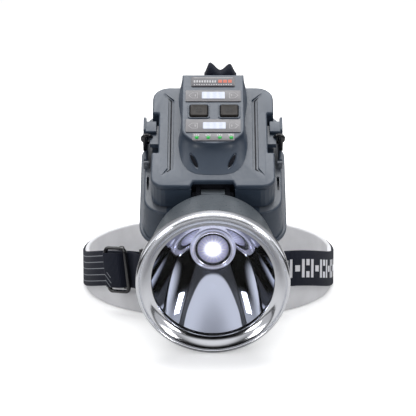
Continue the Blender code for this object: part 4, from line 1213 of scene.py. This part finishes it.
def make_buckle():
    """The slider buckle, stood on edge along the band, with the strap folded over it."""
    middle = band_point(-BUCKLE_ANGLE, 1.15)
    ahead = (band_point(-BUCKLE_ANGLE - 2, 1.15) - band_point(-BUCKLE_ANGLE + 2, 1.15)).normalized()
    turn = ahead.to_track_quat("X", "Z").to_matrix().to_4x4()
    place = BAND @ Matrix.Translation((middle + Vector((0, 0, BAND_WIDTH / 2))) * MM) @ turn
    bm = bmesh.new()
    half_x, half_y = BUCKLE_SIZE[0] / 2, BUCKLE_SIZE[1] / 2
    outer = fillet(rectangle(-half_x, -half_y, half_x, half_y, 4.2), 6)
    window_x, window_y = half_x * 0.74, half_y * 0.86
    inner = fillet(rectangle(-window_x, -window_y, window_x, window_y, 2.0), 6)
    outside = ((0.0, 0.0), (0.55, 0.35), (0.9, 1.0), (0.9, 1.7), (0.55, 2.3), (0.0, 2.6))
    inside = ((0.0, 2.6), (0.5, 2.2), (0.6, 1.3), (0.5, 0.4), (0.0, 0.0))
    sections = [(inset(outer, 0.9 - grow), depth) for grow, depth in outside]
    sections += [(inset(inner, grow - 0.6), depth) for grow, depth in inside]
    rings = [put(bm, [(x, -2.5 - depth, y) for x, y in ring]) for ring, depth in sections]
    loft(bm, rings, closed=True)
    replaced = ["headband_buckle"]
    finish_piece("headband_buckle_frame", bm, "gloss_black", place, ROOT, replaced)
    bm = bmesh.new()
    levels = rounded_levels(2.9, 4.1, 0.4, 0.4, 3)
    slab_into(bm, rectangle(-2.2, -15.0, 2.2, 15.0, 1.4), levels, lean=lambda x, y, z: (x, z, y))
    finish_piece("headband_buckle_bar", bm, "gloss_black", place, ROOT)
    path = []
    for k in range(25):
        t = k / 24
        arch = math.sin(math.pi * t)
        rise = min(1.0, 2.7 * arch) ** 0.7
        path.append(Vector((-11.4 + 17.6 * t, -1.9 - 0.9 * t - (3.3 + 0.7 * arch) * rise, -FOLD_WIDTH / 2)))
    sides = [Vector((0.0, 0.0, 1.0))] * len(path)
    SKIN["fold"] = knitted("fold_knit", STRAP_NAVY, diagonal=(0.0035, 0.0105, 0.0095))
    fold, length = strap_mesh("buckle_strap_fold", path, sides, FOLD_WIDTH, 1.0, "fold", (), place)


def case_point(x, y, z):
    return (CASE @ (Vector((x, y, z)) * MM)) * 1000


CREASE = ((0.0, 8.2), (0.17, 1.2), (0.5, 6.4), (0.8, 2.2), (1.0, 8.6))


def make_top_strap():
    """The strap over the head, pinched into two lobes where it turns round the bar behind the case."""
    shift = BAND.translation * 1000
    near = [
        (110.1, 1.8), (106.3, 0.0), (102.3, 0.8), (99.7, 2.8),
        (99.6, 6.4), (101.9, 10.6), (105.6, 13.0), (110.2, 11.6),
    ]
    near = [case_point(0, y, z) for y, z in near]
    far = [
        (-14.0, 153.0), (0.0, 145.0), (20.0, 133.5), (40.0, 116.5), (58.0, 93.5),
        (72.0, 66.0), (81.6, 44.0), (88.9, 26.0), (89.4, 8.0),
    ]
    route = through([(0.0, p.y, p.z) for p in near] + [(0.0, y + shift.y, z) for y, z in far], 96)
    path = []
    for p in route:
        share = smooth_step((p.y - shift.y + 20.0) / 100.0)
        drift = shift.x + TOP_STRAP_DRIFT * (1 - share)
        path.append(Vector((drift - TOP_STRAP_WIDTH / 2, p.y, p.z)))
    sides = [Vector((1, 0, 0))] * len(path)
    runs = [0.0]
    for a, b in zip(path, path[1:]):
        runs.append(runs[-1] + (b - a).length)
    crown = runs[max(range(len(path)), key=lambda k: path[k].z)]

    def crease(run, share):
        """Where the strap turns over, its middle and its edges sag and leave two peaks."""
        weight = math.exp(-(((run - crown) / 11.0) ** 2))
        sag = CREASE[-1][1]
        for (s0, d0), (s1, d1) in zip(CREASE, CREASE[1:]):
            if s0 <= share <= s1:
                sag = d0 + (d1 - d0) * smooth_step((share - s0) / (s1 - s0))
                break
        return Vector((0, 0, -sag * weight))

    size = (TOP_STRAP_WIDTH, 1.3)
    look = ("strap", ["top_strap"], Matrix.Identity(4), 22, crease)
    strap, length = strap_mesh("top_strap_webbing", path, sides, *size, *look)


def make_pads():
    """The forehead pad, thinner and lower at its ends, and the pad between the case and the head."""
    bm = bmesh.new()
    wall, reach, low, high = 4.0, 22.0, 27.6, 48.0
    middle = (low + high) / 2
    radius = BRACKET_RADIUS - BRACKET_WALL / 2 - 0.3
    section = fillet([(-wall, low, 1.4), (0, low, 0.5), (0, high, 0.5), (-wall, high, 1.4)], 4)
    rings = []
    for k in range(41):
        t = k / 40
        a = math.radians(180 + reach - 2 * reach * t)
        ease = math.sin(math.pi * min(t, 1 - t, 1 / 12) * 6)
        ring = []
        for r, z in section:
            depth = r * (0.45 + 0.55 * ease)
            tall = middle + (z - middle) * (0.82 + 0.18 * ease)
            ring.append(((radius + depth) * math.sin(a), (radius + depth) * math.cos(a), tall))
        rings.append(put(bm, ring))
    loft(bm, rings)
    pad = finish_piece("forehead_pad_foam", bm, "pad", BAND, ROOT, ["forehead_pad"], 60.0)
    outline = rectangle(-30, 34, 30, 82, 8.0)
    levels = rounded_levels(-55.6, -49.6, 2.2, 0.5, 5)
    crown = slab("crown_pad_foam", outline, levels, "pad", CASE, ROOT, ["crown_pad"])


# ---------------------------------------------------------------- the CAD nodes that stay

KEPT = {
    "case": ["upper_case"],
    "shell": ["head_neck"],
    "seal": ["case_gasket", "lens_gasket", "port_cover"],
    "black": ["cell_holder", "driver_coil", "strap_bar", "forehead_bracket"],
    "matt_black": ["hinge_bracket", "hinge_pin", "hinge_nut"],
    "gloss_black": ["top_strap_adjuster", "rear_slider"],
    "rim": ["latch_pin_left", "latch_pin_right"],
    "steel": ["contact_front", "contact_back", "charge_port", *(f"bracket_screw_{k}" for k in range(1, 5))],
    "aluminium": ["led_board", "heat_sink"],
    "led": ["led_chip"],
    "board": ["control_board", "driver_board"],
    "cell": [f"battery_cell_{k}" for k in range(1, 5)],
}
EDGE = 0.2
SOFT_EDGE = {
    "upper_case": 0.5, "forehead_bracket": 0.6, "strap_bar": 0.5, "rear_slider": 0.5,
    "top_strap_adjuster": 0.7, "head_neck": 0.4, "hinge_bracket": 0.4, "port_cover": 0.4,
}
WELD_REACH = 0.02


def dress_node(name, skin):
    """A CAD node's own material, and a small bevel along its sharp edges."""
    node = frame["nodes"][name]
    node.data.materials.clear()
    node.data.materials.append(SKIN[skin])
    weld = node.modifiers.new("weld", "WELD")
    weld.merge_threshold = WELD_REACH * MM
    bevel = node.modifiers.new("edges", "BEVEL")
    bevel.width = SOFT_EDGE.get(name, EDGE) * MM
    bevel.segments = 3 if name in SOFT_EDGE else 1
    bevel.limit_method = "ANGLE"
    bevel.angle_limit = math.radians(40)
    bevel.harden_normals = True


make_camera()
make_stage()
make_lid()
make_hump()
make_button_surrounds()
for word, x in zip(("left", "right"), BUTTON_X):
    make_button(word, x)
make_panel()
make_tray()
make_base()
make_latches()
make_head()
make_headband()
make_liner()
make_buckle()
make_top_strap()
make_pads()
for skin, names in KEPT.items():
    for name in names:
        dress_node(name, skin)
